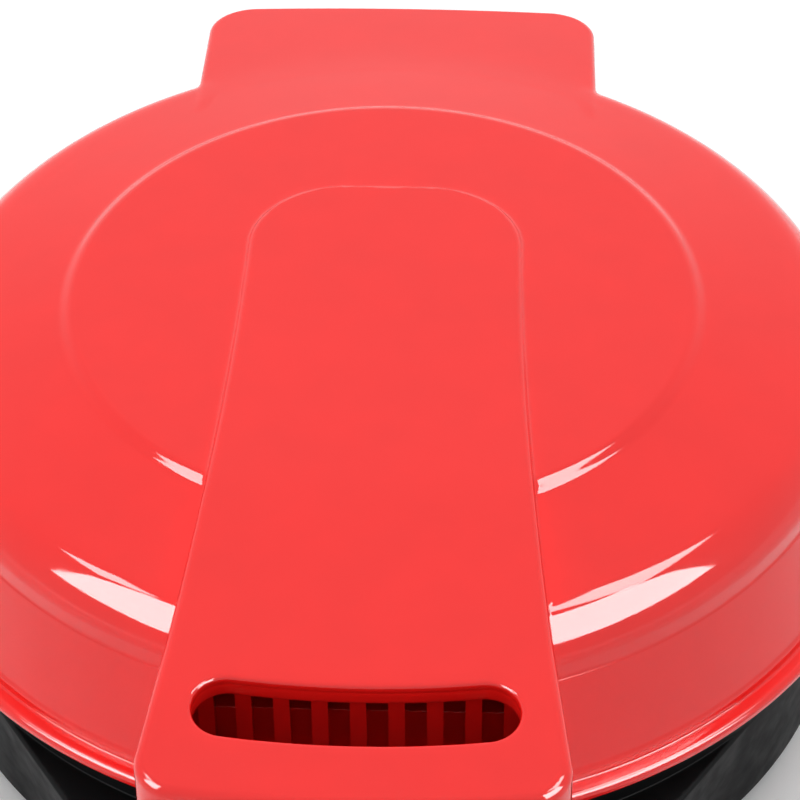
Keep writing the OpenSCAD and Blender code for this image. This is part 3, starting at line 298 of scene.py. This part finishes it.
def settle(field, p, rounds=3, reach=0.8):
    """Moves points onto the field's zero surface."""
    for _ in range(rounds):
        g = gradient(field, p)
        step = field(*p.T)[:, None] * g / np.maximum((g * g).sum(1), 0.05)[:, None]
        length = np.linalg.norm(step, axis=1)[:, None]
        p = p - step * np.minimum(1, reach / np.maximum(length, 1e-9))
    return p


def surface_net(field, axes):
    """Closed mesh of a field that is the same on both sides of x = 0, from its right half.
    axes are lattice values of the angle from the front, the radius and z. Where the lattice
    starts on the axis, the rings there are closed with fans."""
    a, b, c = axes

    def place(angle, radius, z):
        return radius * np.sin(angle), -radius * np.cos(angle), z

    def valued(rows):
        spots = place(rows[:, None, None], b[None, :, None], c[None, None, :])
        return np.broadcast_to(field(*spots), (len(rows), len(b), len(c))).astype(np.float32)

    values = np.concatenate([valued(a[i:i + ROWS_AT_ONCE])
                             for i in range(0, len(a), ROWS_AT_ONCE)])
    inside = values < 0
    corners = [(i, j, k) for i in (0, 1) for j in (0, 1) for k in (0, 1)]
    shape = [n - 1 for n in inside.shape]

    def part(array, o):
        return array[o[0]:o[0] + shape[0], o[1]:o[1] + shape[1], o[2]:o[2] + shape[2]]

    count = sum(part(inside, o).astype(np.int8) for o in corners)
    cells = np.argwhere((count > 0) & (count < 8))
    total, hits = np.zeros((len(cells), 3)), np.zeros(len(cells))
    at = {o: values[tuple((cells + o).T)] for o in corners}
    for o in corners:
        for axis in range(3):
            if o[axis]:
                continue
            far = tuple(1 if n == axis else o[n] for n in range(3))
            cut = (at[o] < 0) != (at[far] < 0)
            t = np.where(cut, at[o] / np.where(cut, at[o] - at[far], 1), 0)
            spot = np.array(o, float)[None, :] + t[:, None] * np.eye(3)[axis]
            total += spot * cut[:, None]
            hits += cut
    spots = cells + total / hits[:, None]
    p = np.stack(place(*[np.interp(spots[:, n], np.arange(len(v)), v)
                         for n, v in enumerate((a, b, c))]), 1)
    n = len(p)
    number = np.full(shape, -1, np.int64)
    number[tuple(cells.T)] = np.arange(n)
    mirror = np.where(number >= 0, number + n, -1)
    number = np.concatenate([mirror[:1], number, mirror[-1:]])   # cell i is at i + 1
    single, double = [], []

    def quads(cut, flip, cell, both):
        where = np.argwhere(cut)
        if not len(where):
            return
        q = np.stack([number[tuple((where + o).T)] for o in cell], 1)
        turned = flip[tuple(where.T)]
        q[turned] = q[turned][:, ::-1]
        (double if both else single).append(q)

    na, nb, nc = inside.shape
    ahead = inside[:-1, 1:-1, 1:-1]
    quads(ahead != inside[1:, 1:-1, 1:-1], ~ahead,
          [(1, 0, 0), (1, 1, 0), (1, 1, 1), (1, 0, 1)], True)
    last = na - 1
    for low, high, both in ((1, last, True), (0, 1, False), (last, na, False)):
        s = inside[low:high]
        o = [(low, 0, 0), (low, 0, 1), (low + 1, 0, 1), (low + 1, 0, 0)]
        quads(s[:, :-1, 1:-1] != s[:, 1:, 1:-1], ~s[:, :-1, 1:-1], o, both)
        o = [(low, 0, 0), (low + 1, 0, 0), (low + 1, 1, 0), (low, 1, 0)]
        quads(s[:, 1:-1, :-1] != s[:, 1:-1, 1:], ~s[:, 1:-1, :-1], o, both)
    double, single = np.concatenate(double), np.concatenate(single)
    other = np.where(double >= n, double - n, double + n)[:, ::-1]
    faces = np.concatenate([double, other, single])
    p = settle(field, p)
    p = np.concatenate([p, p * [-1, 1, 1]])
    tris = np.zeros((0, 3), np.int64)
    for k in np.flatnonzero(inside[0, 0, :-1] != inside[0, 0, 1:]):
        ring = number[1:-1, 0, k]
        loop = np.concatenate([ring, (ring + n)[::-1]])
        z = p[loop, 2].mean()
        p = np.concatenate([p, settle(field, np.array([[0.0, 0.0, z]]))])
        fan = np.stack([np.full(len(loop), len(p) - 1), loop, np.roll(loop, -1)], 1)
        tris = np.concatenate([tris, fan if inside[0, 0, k] else fan[:, ::-1]])
    return p, faces[:, ::-1], tris


def make_object(name, verts, faces, tris):
    """Object from quads and triangles on points in millimetres from the plates' axis."""
    mesh = bpy.data.meshes.new(name)
    nq, nt = len(faces), len(tris)
    world = (np.asarray(verts, float) + [0, AXIS_Y, PARTING]) * MM
    mesh.vertices.add(len(world))
    mesh.vertices.foreach_set("co", world.astype(np.float32).ravel())
    loops = np.concatenate([np.asarray(faces).ravel(), np.asarray(tris, np.int64).ravel()])
    mesh.loops.add(len(loops))
    mesh.loops.foreach_set("vertex_index", loops.astype(np.int32))
    sizes = np.concatenate([np.full(nq, 4), np.full(nt, 3)])
    starts = np.concatenate([[0], np.cumsum(sizes)[:-1]])
    mesh.polygons.add(nq + nt)
    mesh.polygons.foreach_set("loop_start", starts.astype(np.int32))
    mesh.update(calc_edges=True)
    mesh.validate()
    obj = bpy.data.objects.new(name, mesh)
    bpy.context.scene.collection.objects.link(obj)
    return obj


def apply_modifiers(obj):
    graph = bpy.context.evaluated_depsgraph_get()
    mesh = bpy.data.meshes.new_from_object(obj.evaluated_get(graph))
    obj.modifiers.clear()
    obj.data = mesh
    mesh.name = obj.name


def field_piece(name, field, axes, keep):
    """Object with a field's surface: netted, thinned to a share of its faces, settled again
    on the field, and shaded with the field's own normals."""
    obj = make_object(name, *surface_net(field, axes))
    obj.modifiers.new("thin", "DECIMATE").ratio = keep
    apply_modifiers(obj)
    mesh = obj.data
    co = np.zeros(len(mesh.vertices) * 3, np.float32)
    mesh.vertices.foreach_get("co", co)
    q = co.reshape(-1, 3).astype(float) / MM - [0, AXIS_Y, PARTING]
    q = settle(field, q, 2, 0.15)
    world = (q + [0, AXIS_Y, PARTING]) * MM
    mesh.vertices.foreach_set("co", world.astype(np.float32).ravel())
    normals = gradient(field, q)
    normals /= np.maximum(np.linalg.norm(normals, axis=1), 1e-9)[:, None]
    mesh.polygons.foreach_set("use_smooth", np.ones(len(mesh.polygons), bool))
    mesh.update()
    mesh.normals_split_custom_set_from_vertices(normals.tolist())
    return obj


# ------------------------------------------------------------------ materials
NOISE_LOW, NOISE_HIGH = 0.3, 0.7                         # most of a noise's values


def material(name, colour, roughness, **sockets):
    """Principled material. Other sockets are given by name, with _ for each space."""
    mat = bpy.data.materials.new(name)
    mat.use_nodes = True
    shader = mat.node_tree.nodes["Principled BSDF"]
    shader.inputs["Base Color"].default_value = (*colour, 1)
    shader.inputs["Roughness"].default_value = roughness
    for key, value in sockets.items():
        shader.inputs[key.replace("_", " ")].default_value = value
    return mat


def surface(name, colour, roughness, drift=0.08, rough_by=0.15, cloud=0.015, relief=(), weave=0,
            **sockets):
    """Procedural finish. Its colour and roughness drift by those shares over clouds of that
    size, and relief lists bumps as (size, depth, stretch). Lengths are in metres."""
    mat = material(name, colour, roughness, **sockets)
    tree = mat.node_tree
    new, link = tree.nodes.new, tree.links.new
    shader = tree.nodes["Principled BSDF"]
    where = new("ShaderNodeTexCoord").outputs["Object"]

    def noise(size, stretch=(1, 1, 1), detail=2):
        place, tex = new("ShaderNodeMapping"), new("ShaderNodeTexNoise")
        place.inputs["Scale"].default_value = [n / size for n in stretch]
        link(where, place.inputs["Vector"])
        link(place.outputs[0], tex.inputs["Vector"])
        tex.inputs["Scale"].default_value = 1
        tex.inputs["Detail"].default_value = detail
        return tex.outputs[0]

    def bump(height, depth, normal):
        node = new("ShaderNodeBump")
        node.inputs["Distance"].default_value = depth
        link(height, node.inputs["Height"])
        if normal:
            link(normal, node.inputs["Normal"])
        return node.outputs[0]

    tone = new("ShaderNodeValToRGB")
    for stop, at, share in zip(tone.color_ramp.elements, (NOISE_LOW, NOISE_HIGH),
                               (1 - drift, 1 + drift)):
        stop.position, stop.color = at, (*[min(1, c * share) for c in colour], 1)
    link(noise(cloud), tone.inputs[0])
    link(tone.outputs[0], shader.inputs["Base Color"])
    spread = new("ShaderNodeMapRange")
    for key, value in (("From Min", NOISE_LOW), ("From Max", NOISE_HIGH),
                       ("To Min", roughness * (1 - rough_by)),
                       ("To Max", roughness * (1 + rough_by))):
        spread.inputs[key].default_value = value
    link(noise(cloud / 3), spread.inputs["Value"])
    link(spread.outputs["Result"], shader.inputs["Roughness"])
    normal = None
    for size, depth, *stretch in relief:
        normal = bump(noise(size, *stretch), depth, normal)
    for turn in (-0.7, 0.7) if weave else ():
        place, strands = new("ShaderNodeMapping"), new("ShaderNodeTexWave")
        place.inputs["Rotation"].default_value = (turn, turn, turn)
        place.inputs["Scale"].default_value = [0.3 / weave] * 3
        link(where, place.inputs["Vector"])
        link(place.outputs[0], strands.inputs["Vector"])
        strands.inputs["Scale"].default_value = 1
        normal = bump(strands.outputs["Fac"], weave / 6, normal)
    if normal:
        link(normal, shader.inputs["Normal"])
    return mat


LONG_X, LONG_Y = (0.05, 1, 1), (1, 0.05, 1)              # brushed along X and along Y
FINISHES = {
    "lid_plastic": surface("red_gloss", (0.9, 0.012, 0.010), 0.06, drift=0.02, rough_by=0.3,
                           relief=((0.016, 8e-5), (0.002, 1.5e-6))),
    "base_plastic": surface("black_satin", (0.007, 0.0075, 0.008), 0.5, Specular_IOR_Level=0.045,
                            relief=((0.0007, 1.4e-5), (0.02, 4e-5))),
    "plate_coating": surface("non_stick", (0.017, 0.017, 0.018), 0.4, drift=0.3, cloud=0.004,
                             relief=((0.0011, 1.2e-5), (0.012, 4e-5)), Metallic=0.35),
    "sheet_steel": surface("aluminised_sheet", (0.60, 0.61, 0.63), 0.34, cloud=0.006, rough_by=0.3,
                           relief=((0.0012, 8e-6, LONG_X), (0.03, 8e-5)), Metallic=1.0),
    "heater_steel": surface("heat_toned_steel", (0.33, 0.29, 0.25), 0.42, drift=0.3, cloud=0.02,
                            relief=((0.0009, 6e-6),), Metallic=1.0),
    "screw_steel": surface("zinc_plate", (0.64, 0.64, 0.62), 0.27, drift=0.1, cloud=0.003,
                           rough_by=0.35, relief=((0.0007, 5e-6),), Metallic=1.0),
    "power_lens": surface("red_lens", (0.72, 0.012, 0.01), 0.1, cloud=0.003,
                          Transmission_Weight=0.5, relief=((0.0012, 3e-5, LONG_Y),)),
    "ready_lens": surface("green_lens", (0.02, 0.42, 0.05), 0.1, cloud=0.003,
                          Transmission_Weight=0.5, relief=((0.0012, 3e-5, LONG_Y),)),
    "lamp_glass": surface("warm_glass", (0.95, 0.84, 0.68), 0.05, drift=0.05, cloud=0.004,
                          Transmission_Weight=0.9, relief=((0.003, 2e-5),)),
    "wire_sheath": surface("braided_sheath", (0.62, 0.58, 0.48), 0.75, drift=0.12, cloud=0.004,
                           weave=0.0009, relief=((0.0005, 2e-5),)),
    "ceramic_white": surface("ceramic", (0.70, 0.67, 0.60), 0.5, drift=0.06, cloud=0.003,
                             relief=((0.0007, 1.2e-5),)),
    "block_nylon": surface("nylon", (0.72, 0.69, 0.61), 0.38, drift=0.05, cloud=0.006,
                           relief=((0.0015, 1e-5),)),
    "rubber_black": surface("soft_rubber", (0.016, 0.016, 0.016), 0.8, drift=0.2, cloud=0.004,
                            relief=((0.0006, 1.5e-5),)),
}
SLOTS = {row["node"]: row["material_slot"] for row in frame["record"]["subparts"]}
ROUNDED = {"latch": 0.5, "cord_gland": 0.4, "rubber_feet": 0.6, "bottom_cover": 0.4,
           "handle_cover": 0.4, "vent_grille": 0.35, "upper_plate": 0.15, "lower_plate": 0.15}
for name, node in NODES.items():
    node.data.materials.clear()
    node.data.materials.append(FINISHES[SLOTS[name]])
    if name in ROUNDED:
        edge = node.modifiers.new("round", "BEVEL")
        edge.width, edge.segments, edge.limit_method = ROUNDED[name] * MM, 2, "ANGLE"
        edge.angle_limit = math.radians(40)
        edge.harden_normals = True

# Angle from the front in degrees, radius and height, each finest where the form turns
LID_LATTICE = (
    np.radians(spaced(0, (22, 0.2), (155, 0.75), (180, 0.4))),
    spaced(0, (20, 2.5), (60, 1.3), (70, 0.5), (88, 1.2), (112, 0.5), (128, 0.45),
           (136, 0.8), (150, 0.5)),
    spaced(-7, (-0.6, 0.8), (8.4, 0.35), (24, 0.9), (30, 0.5), (36, 0.7), (48, 0.4)))
lid = field_piece("lid_shell_look", lid_field, LID_LATTICE, keep=0.35)
lid.data.materials.append(FINISHES["lid_plastic"])
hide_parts("lid_shell")
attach(lid, "lid")


# ------------------------------------------------------------------ base
BASE_R, BASE_FOOT_R, BASE_FLOOR, RIM_LOW, RIM_TOP = 103.5, 99.5, -40.0, -5.0, -1.0
BOW_TOP, BOW_LOW, BOW_REACH, BOW_LEAN, BOW_CORNER = -10.0, -37.0, 133.0, 8.0, 10.0
BOW_SIDE_TOP = (0.8286, -0.5599, 101.23)                 # side's normal and reach at BOW_TOP
BOW_SIDE_LOW = (-0.0398, -0.0547, -2.41)                 # and what it gains down to BOW_LOW
BOW_EDGE, BOW_ROOM_EDGE, BOW_BACK = 1.0, 0.1, 66
SADDLE_HALF, SADDLE_REAR, SADDLE_TOP, SADDLE_CORNER, SADDLE_EDGE = 42.2, 114.0, -6.0, 8, 0.6
WALL_H = 33.5                                            # height the drum's wall leans over
DRUM_EDGE, BAND_EDGE, BASE_FILLET, CUT_EDGE, BORE_EDGE = 1.6, 0.5, 0.7, 0.5, 0.3
CATCH_HALF, CATCH_BACK, CATCH_H, CATCH_HALF_H = 13, 122.6, 19.2, 3.8
GLAND_R, GLAND_H, GLAND_FRONT = 6.3, 25, 109
# Bosses as (places, radius, low, high): the heat shield's, then the bottom cover's
BOSSES = ((((68.3, 68.3), (68.3, -68.3)), 3.2, -13.4, -2.4),
          (((78.85, 36.77), (78.85, -36.77)), 3.6, -36.9, -24.9))
WEB_HALF, WEB_L, WEB_GAP, PILOT_R = 1.2, 18, 0.3, 1.55
EAR_R, EAR_X, EAR_HALF, EAR_FRONT, EAR_EDGE = 7.5, 35, 5, 102.5, 0.8
CRADLE_R, CRADLE_X, CRADLE_HALF, CRADLE_EDGE = 5.8, 13.5, 2, 0.5
PIN_BORE_R, SLEEVE_BORE_R, SLEEVE_REACH = 2.55, 4.05, 20


def bow_field(x, y, z, inset):
    """The base's bow, whose sides and front lean in towards its floor, drawn in by inset."""
    t = (BOW_TOP - z) / (BOW_TOP - BOW_LOW)
    nx, ny, d = (top + gain * t for top, gain in zip(BOW_SIDE_TOP, BOW_SIDE_LOW))
    side = (nx * np.abs(x) + ny * y - d) / np.hypot(nx, ny) + inset
    front = -y - BOW_REACH + BOW_LEAN * t + inset
    plan = round_max(side, front, BOW_CORNER - inset)
    edge = BOW_ROOM_EDGE if inset else BOW_EDGE
    deep = round_max(plan, np.maximum(z - BOW_TOP, BOW_LOW - z) + inset, edge)
    return np.maximum(deep, y + BOW_BACK + 3 * inset)


def saddle_field(x, y, z, inset, low, high):
    """The base's saddle under the hinge, drawn in by inset."""
    plan = rounded_box(x, y - (SADDLE_REAR + RING_R) / 2, SADDLE_HALF - inset,
                       (SADDLE_REAR - RING_R) / 2 - inset, SADDLE_CORNER - inset)
    return round_max(plan, np.maximum(z - high, low - z), SADDLE_EDGE)


def drum_wall(r, z, inset):
    """Outside of the drum's leaning wall, or of its room with inset."""
    lean = (BASE_R - 1 - BASE_FOOT_R) / WALL_H
    out = r - BASE_R + 1 + inset - lean * np.minimum(z - RIM_LOW, 0)
    return out / math.hypot(1, lean)


def add_bosses(solid, x, y, z, r):
    """Adds the screw bosses, each with a web out to the drum's wall and a pilot hole."""
    for spots, boss_r, low, high in BOSSES:
        for bx, by in spots:
            out = math.hypot(bx, by)
            ux, uy = bx / out, by / out
            along, side = np.abs(x) * ux + y * uy - out, np.abs(y * ux - np.abs(x) * uy)
            web = np.maximum(side - WEB_HALF, np.maximum(-along, along - WEB_L))
            post = np.minimum(np.hypot(along, side) - boss_r, web)
            post = np.maximum(post, np.maximum(low - z, z - high))
            post = np.maximum(post, drum_wall(r, z, WEB_GAP))
            post = np.maximum(post, PILOT_R - np.hypot(along, side))
            solid = np.minimum(solid, post)
    return solid


def hinge_stands(x, y, z, axle):
    """Ears around the hinge pins, and the cradle of the wire sleeve."""
    rear = y - HINGE_Y - EAR_R + np.maximum(HINGE_H - z, 0) * 0.35
    sides = np.maximum((EAR_FRONT - y) * 0.93 - (HINGE_H - z) * 0.37, rear)
    foot = np.maximum(np.maximum(sides, z - HINGE_H), SADDLE_TOP - 1 - z)
    ear = smax(np.minimum(axle - EAR_R, foot), np.abs(np.abs(x) - EAR_X) - EAR_HALF, EAR_EDGE)
    foot = np.maximum(np.abs(y - HINGE_Y) - CRADLE_R,
                      np.maximum(z - HINGE_H, SADDLE_TOP - 1 - z))
    cradle = smax(np.minimum(axle - CRADLE_R, foot),
                  np.abs(np.abs(x) - CRADLE_X) - CRADLE_HALF, CRADLE_EDGE)
    return np.minimum(ear, cradle)


def base_field(x, y, z):
    """Distance to the base's moulding, in millimetres from the plates' axis."""
    r = np.hypot(x, y)
    drum = smax(drum_wall(r, z, 0), np.maximum(z - RIM_TOP, BASE_FLOOR - z), DRUM_EDGE)
    band = round_max(r - BASE_R, np.maximum(z - RIM_TOP, RIM_LOW - z), BAND_EDGE)
    drum = np.minimum(drum, band)
    outer = smin(drum, bow_field(x, y, z, 0), BASE_FILLET)
    outer = smin(outer, saddle_field(x, y, z, 0, BASE_FLOOR, SADDLE_TOP), BASE_FILLET)
    # rooms inside, catch window and the gland's seat
    room = drum_wall(r, z, WALL - 1.0 * (z > RIM_LOW))
    room = np.minimum(room, bow_field(x, y, z, WALL))
    room = np.minimum(room, saddle_field(x, y, z, WALL, BASE_FLOOR + WALL, SADDLE_TOP - WALL))
    catch = np.maximum(np.maximum(np.abs(x) - CATCH_HALF, y + CATCH_BACK),
                       np.abs(z + CATCH_H) - CATCH_HALF_H)
    gland = np.maximum(np.hypot(x, z + GLAND_H) - GLAND_R, GLAND_FRONT - y)
    cuts = np.minimum(np.minimum(room, catch), gland)
    solid = add_bosses(smax(outer, -cuts, CUT_EDGE), x, y, z, r)
    axle = np.hypot(y - HINGE_Y, z - HINGE_H)
    solid = smin(solid, hinge_stands(x, y, z, axle), EAR_EDGE)
    bore = axle - np.where(np.abs(x) > SLEEVE_REACH, PIN_BORE_R, SLEEVE_BORE_R)
    return smax(solid, -bore, BORE_EDGE)


BASE_LATTICE = (
    np.radians(spaced(0, (22, 0.4), (56, 0.55), (155, 1.1), (180, 0.4))),
    spaced(60, (94, 2.2), (106, 0.5), (122, 0.8), (140, 0.6)),
    spaced(-41.2, (-35, 0.6), (-24, 1.1), (-14, 0.7), (0, 0.45), (11.2, 0.6)))
base = field_piece("base_shell_look", base_field, BASE_LATTICE, keep=0.4)
base.data.materials.append(FINISHES["base_plastic"])
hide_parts("base_shell")
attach(base, "base")

# ------------------------------------------------------------------ stage
FLOOR_HALF = 6                                           # metres, from here on
LIFT_NEAR, LIFT_FAR = (0.4, 0.14), (2.0, 0.7)            # floor's (distance, emission)
ROOM_LEVEL, ROOM_TILT = 0.48, 0.36                       # light of the room, and its rise along y


def looked_at(tree):
    """Socket that is 1 where a camera, glossy or transmission ray meets the material."""
    paths = tree.nodes.new("ShaderNodeLightPath")
    seen, clear = tree.nodes.new("ShaderNodeMath"), tree.nodes.new("ShaderNodeMath")
    seen.operation = clear.operation = "MAXIMUM"
    tree.links.new(paths.outputs["Is Camera Ray"], seen.inputs[0])
    tree.links.new(paths.outputs["Is Glossy Ray"], seen.inputs[1])
    tree.links.new(seen.outputs[0], clear.inputs[0])
    tree.links.new(paths.outputs["Is Transmission Ray"], clear.inputs[1])
    return clear.outputs[0]


def floor_material():
    """Pale floor, lifted to white where it is looked at, which keeps its shadows."""
    mat = material("floor_white", (0.9, 0.9, 0.9), 0.9)
    tree = mat.node_tree
    shader = tree.nodes["Principled BSDF"]
    shader.inputs["Specular IOR Level"].default_value = 0.1
    strength = tree.nodes.new("ShaderNodeMath")
    strength.operation = "MULTIPLY"
    tree.links.new(looked_at(tree), strength.inputs[0])
    # more of it far from the object, where the lamps don't reach
    where, away, lift = (tree.nodes.new("ShaderNodeTexCoord"),
                         tree.nodes.new("ShaderNodeVectorMath"),
                         tree.nodes.new("ShaderNodeMapRange"))
    away.operation = "LENGTH"
    tree.links.new(where.outputs["Object"], away.inputs[0])
    tree.links.new(away.outputs["Value"], lift.inputs["Value"])
    for key, value in (("From Min", LIFT_NEAR[0]), ("From Max", LIFT_FAR[0]),
                       ("To Min", LIFT_NEAR[1]), ("To Max", LIFT_FAR[1])):
        lift.inputs[key].default_value = value
    tree.links.new(lift.outputs["Result"], strength.inputs[1])
    shader.inputs["Emission Color"].default_value = (1, 1, 1, 1)
    tree.links.new(strength.outputs[0], shader.inputs["Emission Strength"])
    return mat


floor_mesh = bpy.data.meshes.new("floor")
floor_corners = [(i * FLOOR_HALF, j * FLOOR_HALF, 0)
                 for i, j in ((-1, -1), (1, -1), (1, 1), (-1, 1))]
floor_mesh.from_pydata(floor_corners, [], [(0, 1, 2, 3)])
floor = bpy.data.objects.new("floor", floor_mesh)
bpy.context.scene.collection.objects.link(floor)
floor.data.materials.append(floor_material())
floor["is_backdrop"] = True


def studio_world():
    """White to look at, also in reflections, and dimmer as the light of the room."""
    world = bpy.data.worlds.new("studio")
    bpy.context.scene.world = world
    world.use_nodes = True
    tree = world.node_tree
    tree.nodes.clear()
    new, link = tree.nodes.new, tree.links.new
    where, split, level, mix = (new("ShaderNodeTexCoord"), new("ShaderNodeSeparateXYZ"),
                                new("ShaderNodeMath"), new("ShaderNodeMix"))
    link(where.outputs["Generated"], split.inputs[0])
    level.operation = "MULTIPLY_ADD"
    link(split.outputs["Y"], level.inputs[0])
    level.inputs[1].default_value, level.inputs[2].default_value = ROOM_TILT, ROOM_LEVEL
    link(looked_at(tree), mix.inputs["Factor"])
    link(level.outputs[0], mix.inputs[2])
    mix.inputs[3].default_value = 1.0
    back, out = new("ShaderNodeBackground"), new("ShaderNodeOutputWorld")
    back.inputs["Color"].default_value = (1, 1, 1, 1)
    link(mix.outputs[0], back.inputs["Strength"])
    link(back.outputs[0], out.inputs["Surface"])


studio_world()


def softbox(name, at, size, radiance, target, diffuse=True, gloss=True):
    """Rectangular lamp that lights, is mirrored in gloss, or both."""
    data = bpy.data.lights.new(name, "AREA")
    data.shape, data.size, data.size_y = "RECTANGLE", size[0], size[1]
    data.energy = radiance * size[0] * size[1] * math.pi     # radiance x area x pi
    lamp = bpy.data.objects.new(name, data)
    lamp.location = at
    lamp.rotation_euler = (Vector(at) - Vector(target)).to_track_quat("Z", "Y").to_euler()
    bpy.context.scene.collection.objects.link(lamp)
    lamp.visible_diffuse, lamp.visible_glossy = diffuse, gloss
    lamp.visible_camera = False


# Each side as (name, side of x, degrees from the front, half width in degrees, fill's radiance).
# Its panel shows in gloss only, and its fill lights without showing in gloss.
SIDES = (("left", -1, 56.5, 16.5, 2.6), ("right", 1, 55, 22, 0.9))
PANEL_LOW, FILL_LOW, SIDE_HIGH = 0.44, 0.01, 1.6
PANEL_RADIANCE, CEILING_RADIANCE, OVERHEAD_RADIANCE = 17, 13, 2.8
for side, s, turn_by, half, fill in SIDES:
    a = math.radians(turn_by)
    wide = 2 * math.tan(math.radians(half))
    spot = Vector((s * math.sin(a), -math.cos(a), 0))
    for kind, low, radiance in (("panel", PANEL_LOW, PANEL_RADIANCE), ("fill", FILL_LOW, fill)):
        centre = Vector((0, 0, (low + SIDE_HIGH) / 2))
        softbox(f"{kind}_{side}", spot + centre, (wide, SIDE_HIGH - low), radiance, centre,
                diffuse=kind == "fill", gloss=kind == "panel")
for side, x, y, size in (("right", 0.53, 0.02, (0.44, 0.40)),
                         ("left", -0.70, -0.06, (0.32, 0.23))):
    softbox(f"ceiling_{side}", (x, y, 1.0), size, CEILING_RADIANCE, (x, y, 0), diffuse=False)
softbox("overhead", (0, 0.1, 1.7), (1.4, 1.4), OVERHEAD_RADIANCE, (0, 0, 0), gloss=False)

# The photo's camera, as fitted to it: place, and its right and forward directions
CAMERA_AT = (0.0242, -0.46385, 0.4857)
CAMERA_RIGHT, CAMERA_FORWARD = (0.9993, 0.0368, -0.0074), (-0.0324, 0.7473, -0.6637)
camera_data = bpy.data.cameras.new("camera")
camera_data.lens, camera_data.sensor_width = 135, 36
camera = bpy.data.objects.new("camera", camera_data)
bpy.context.scene.collection.objects.link(camera)
right = Vector(CAMERA_RIGHT).normalized()
forward = Vector(CAMERA_FORWARD).normalized()
up = right.cross(forward).normalized()
right = forward.cross(up)
turn = Matrix((right, up, -forward)).transposed()
camera.matrix_world = Matrix.Translation(CAMERA_AT) @ turn.to_4x4()
bpy.context.scene.camera = camera
bpy.context.scene.view_settings.view_transform = "Standard"

low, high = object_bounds()
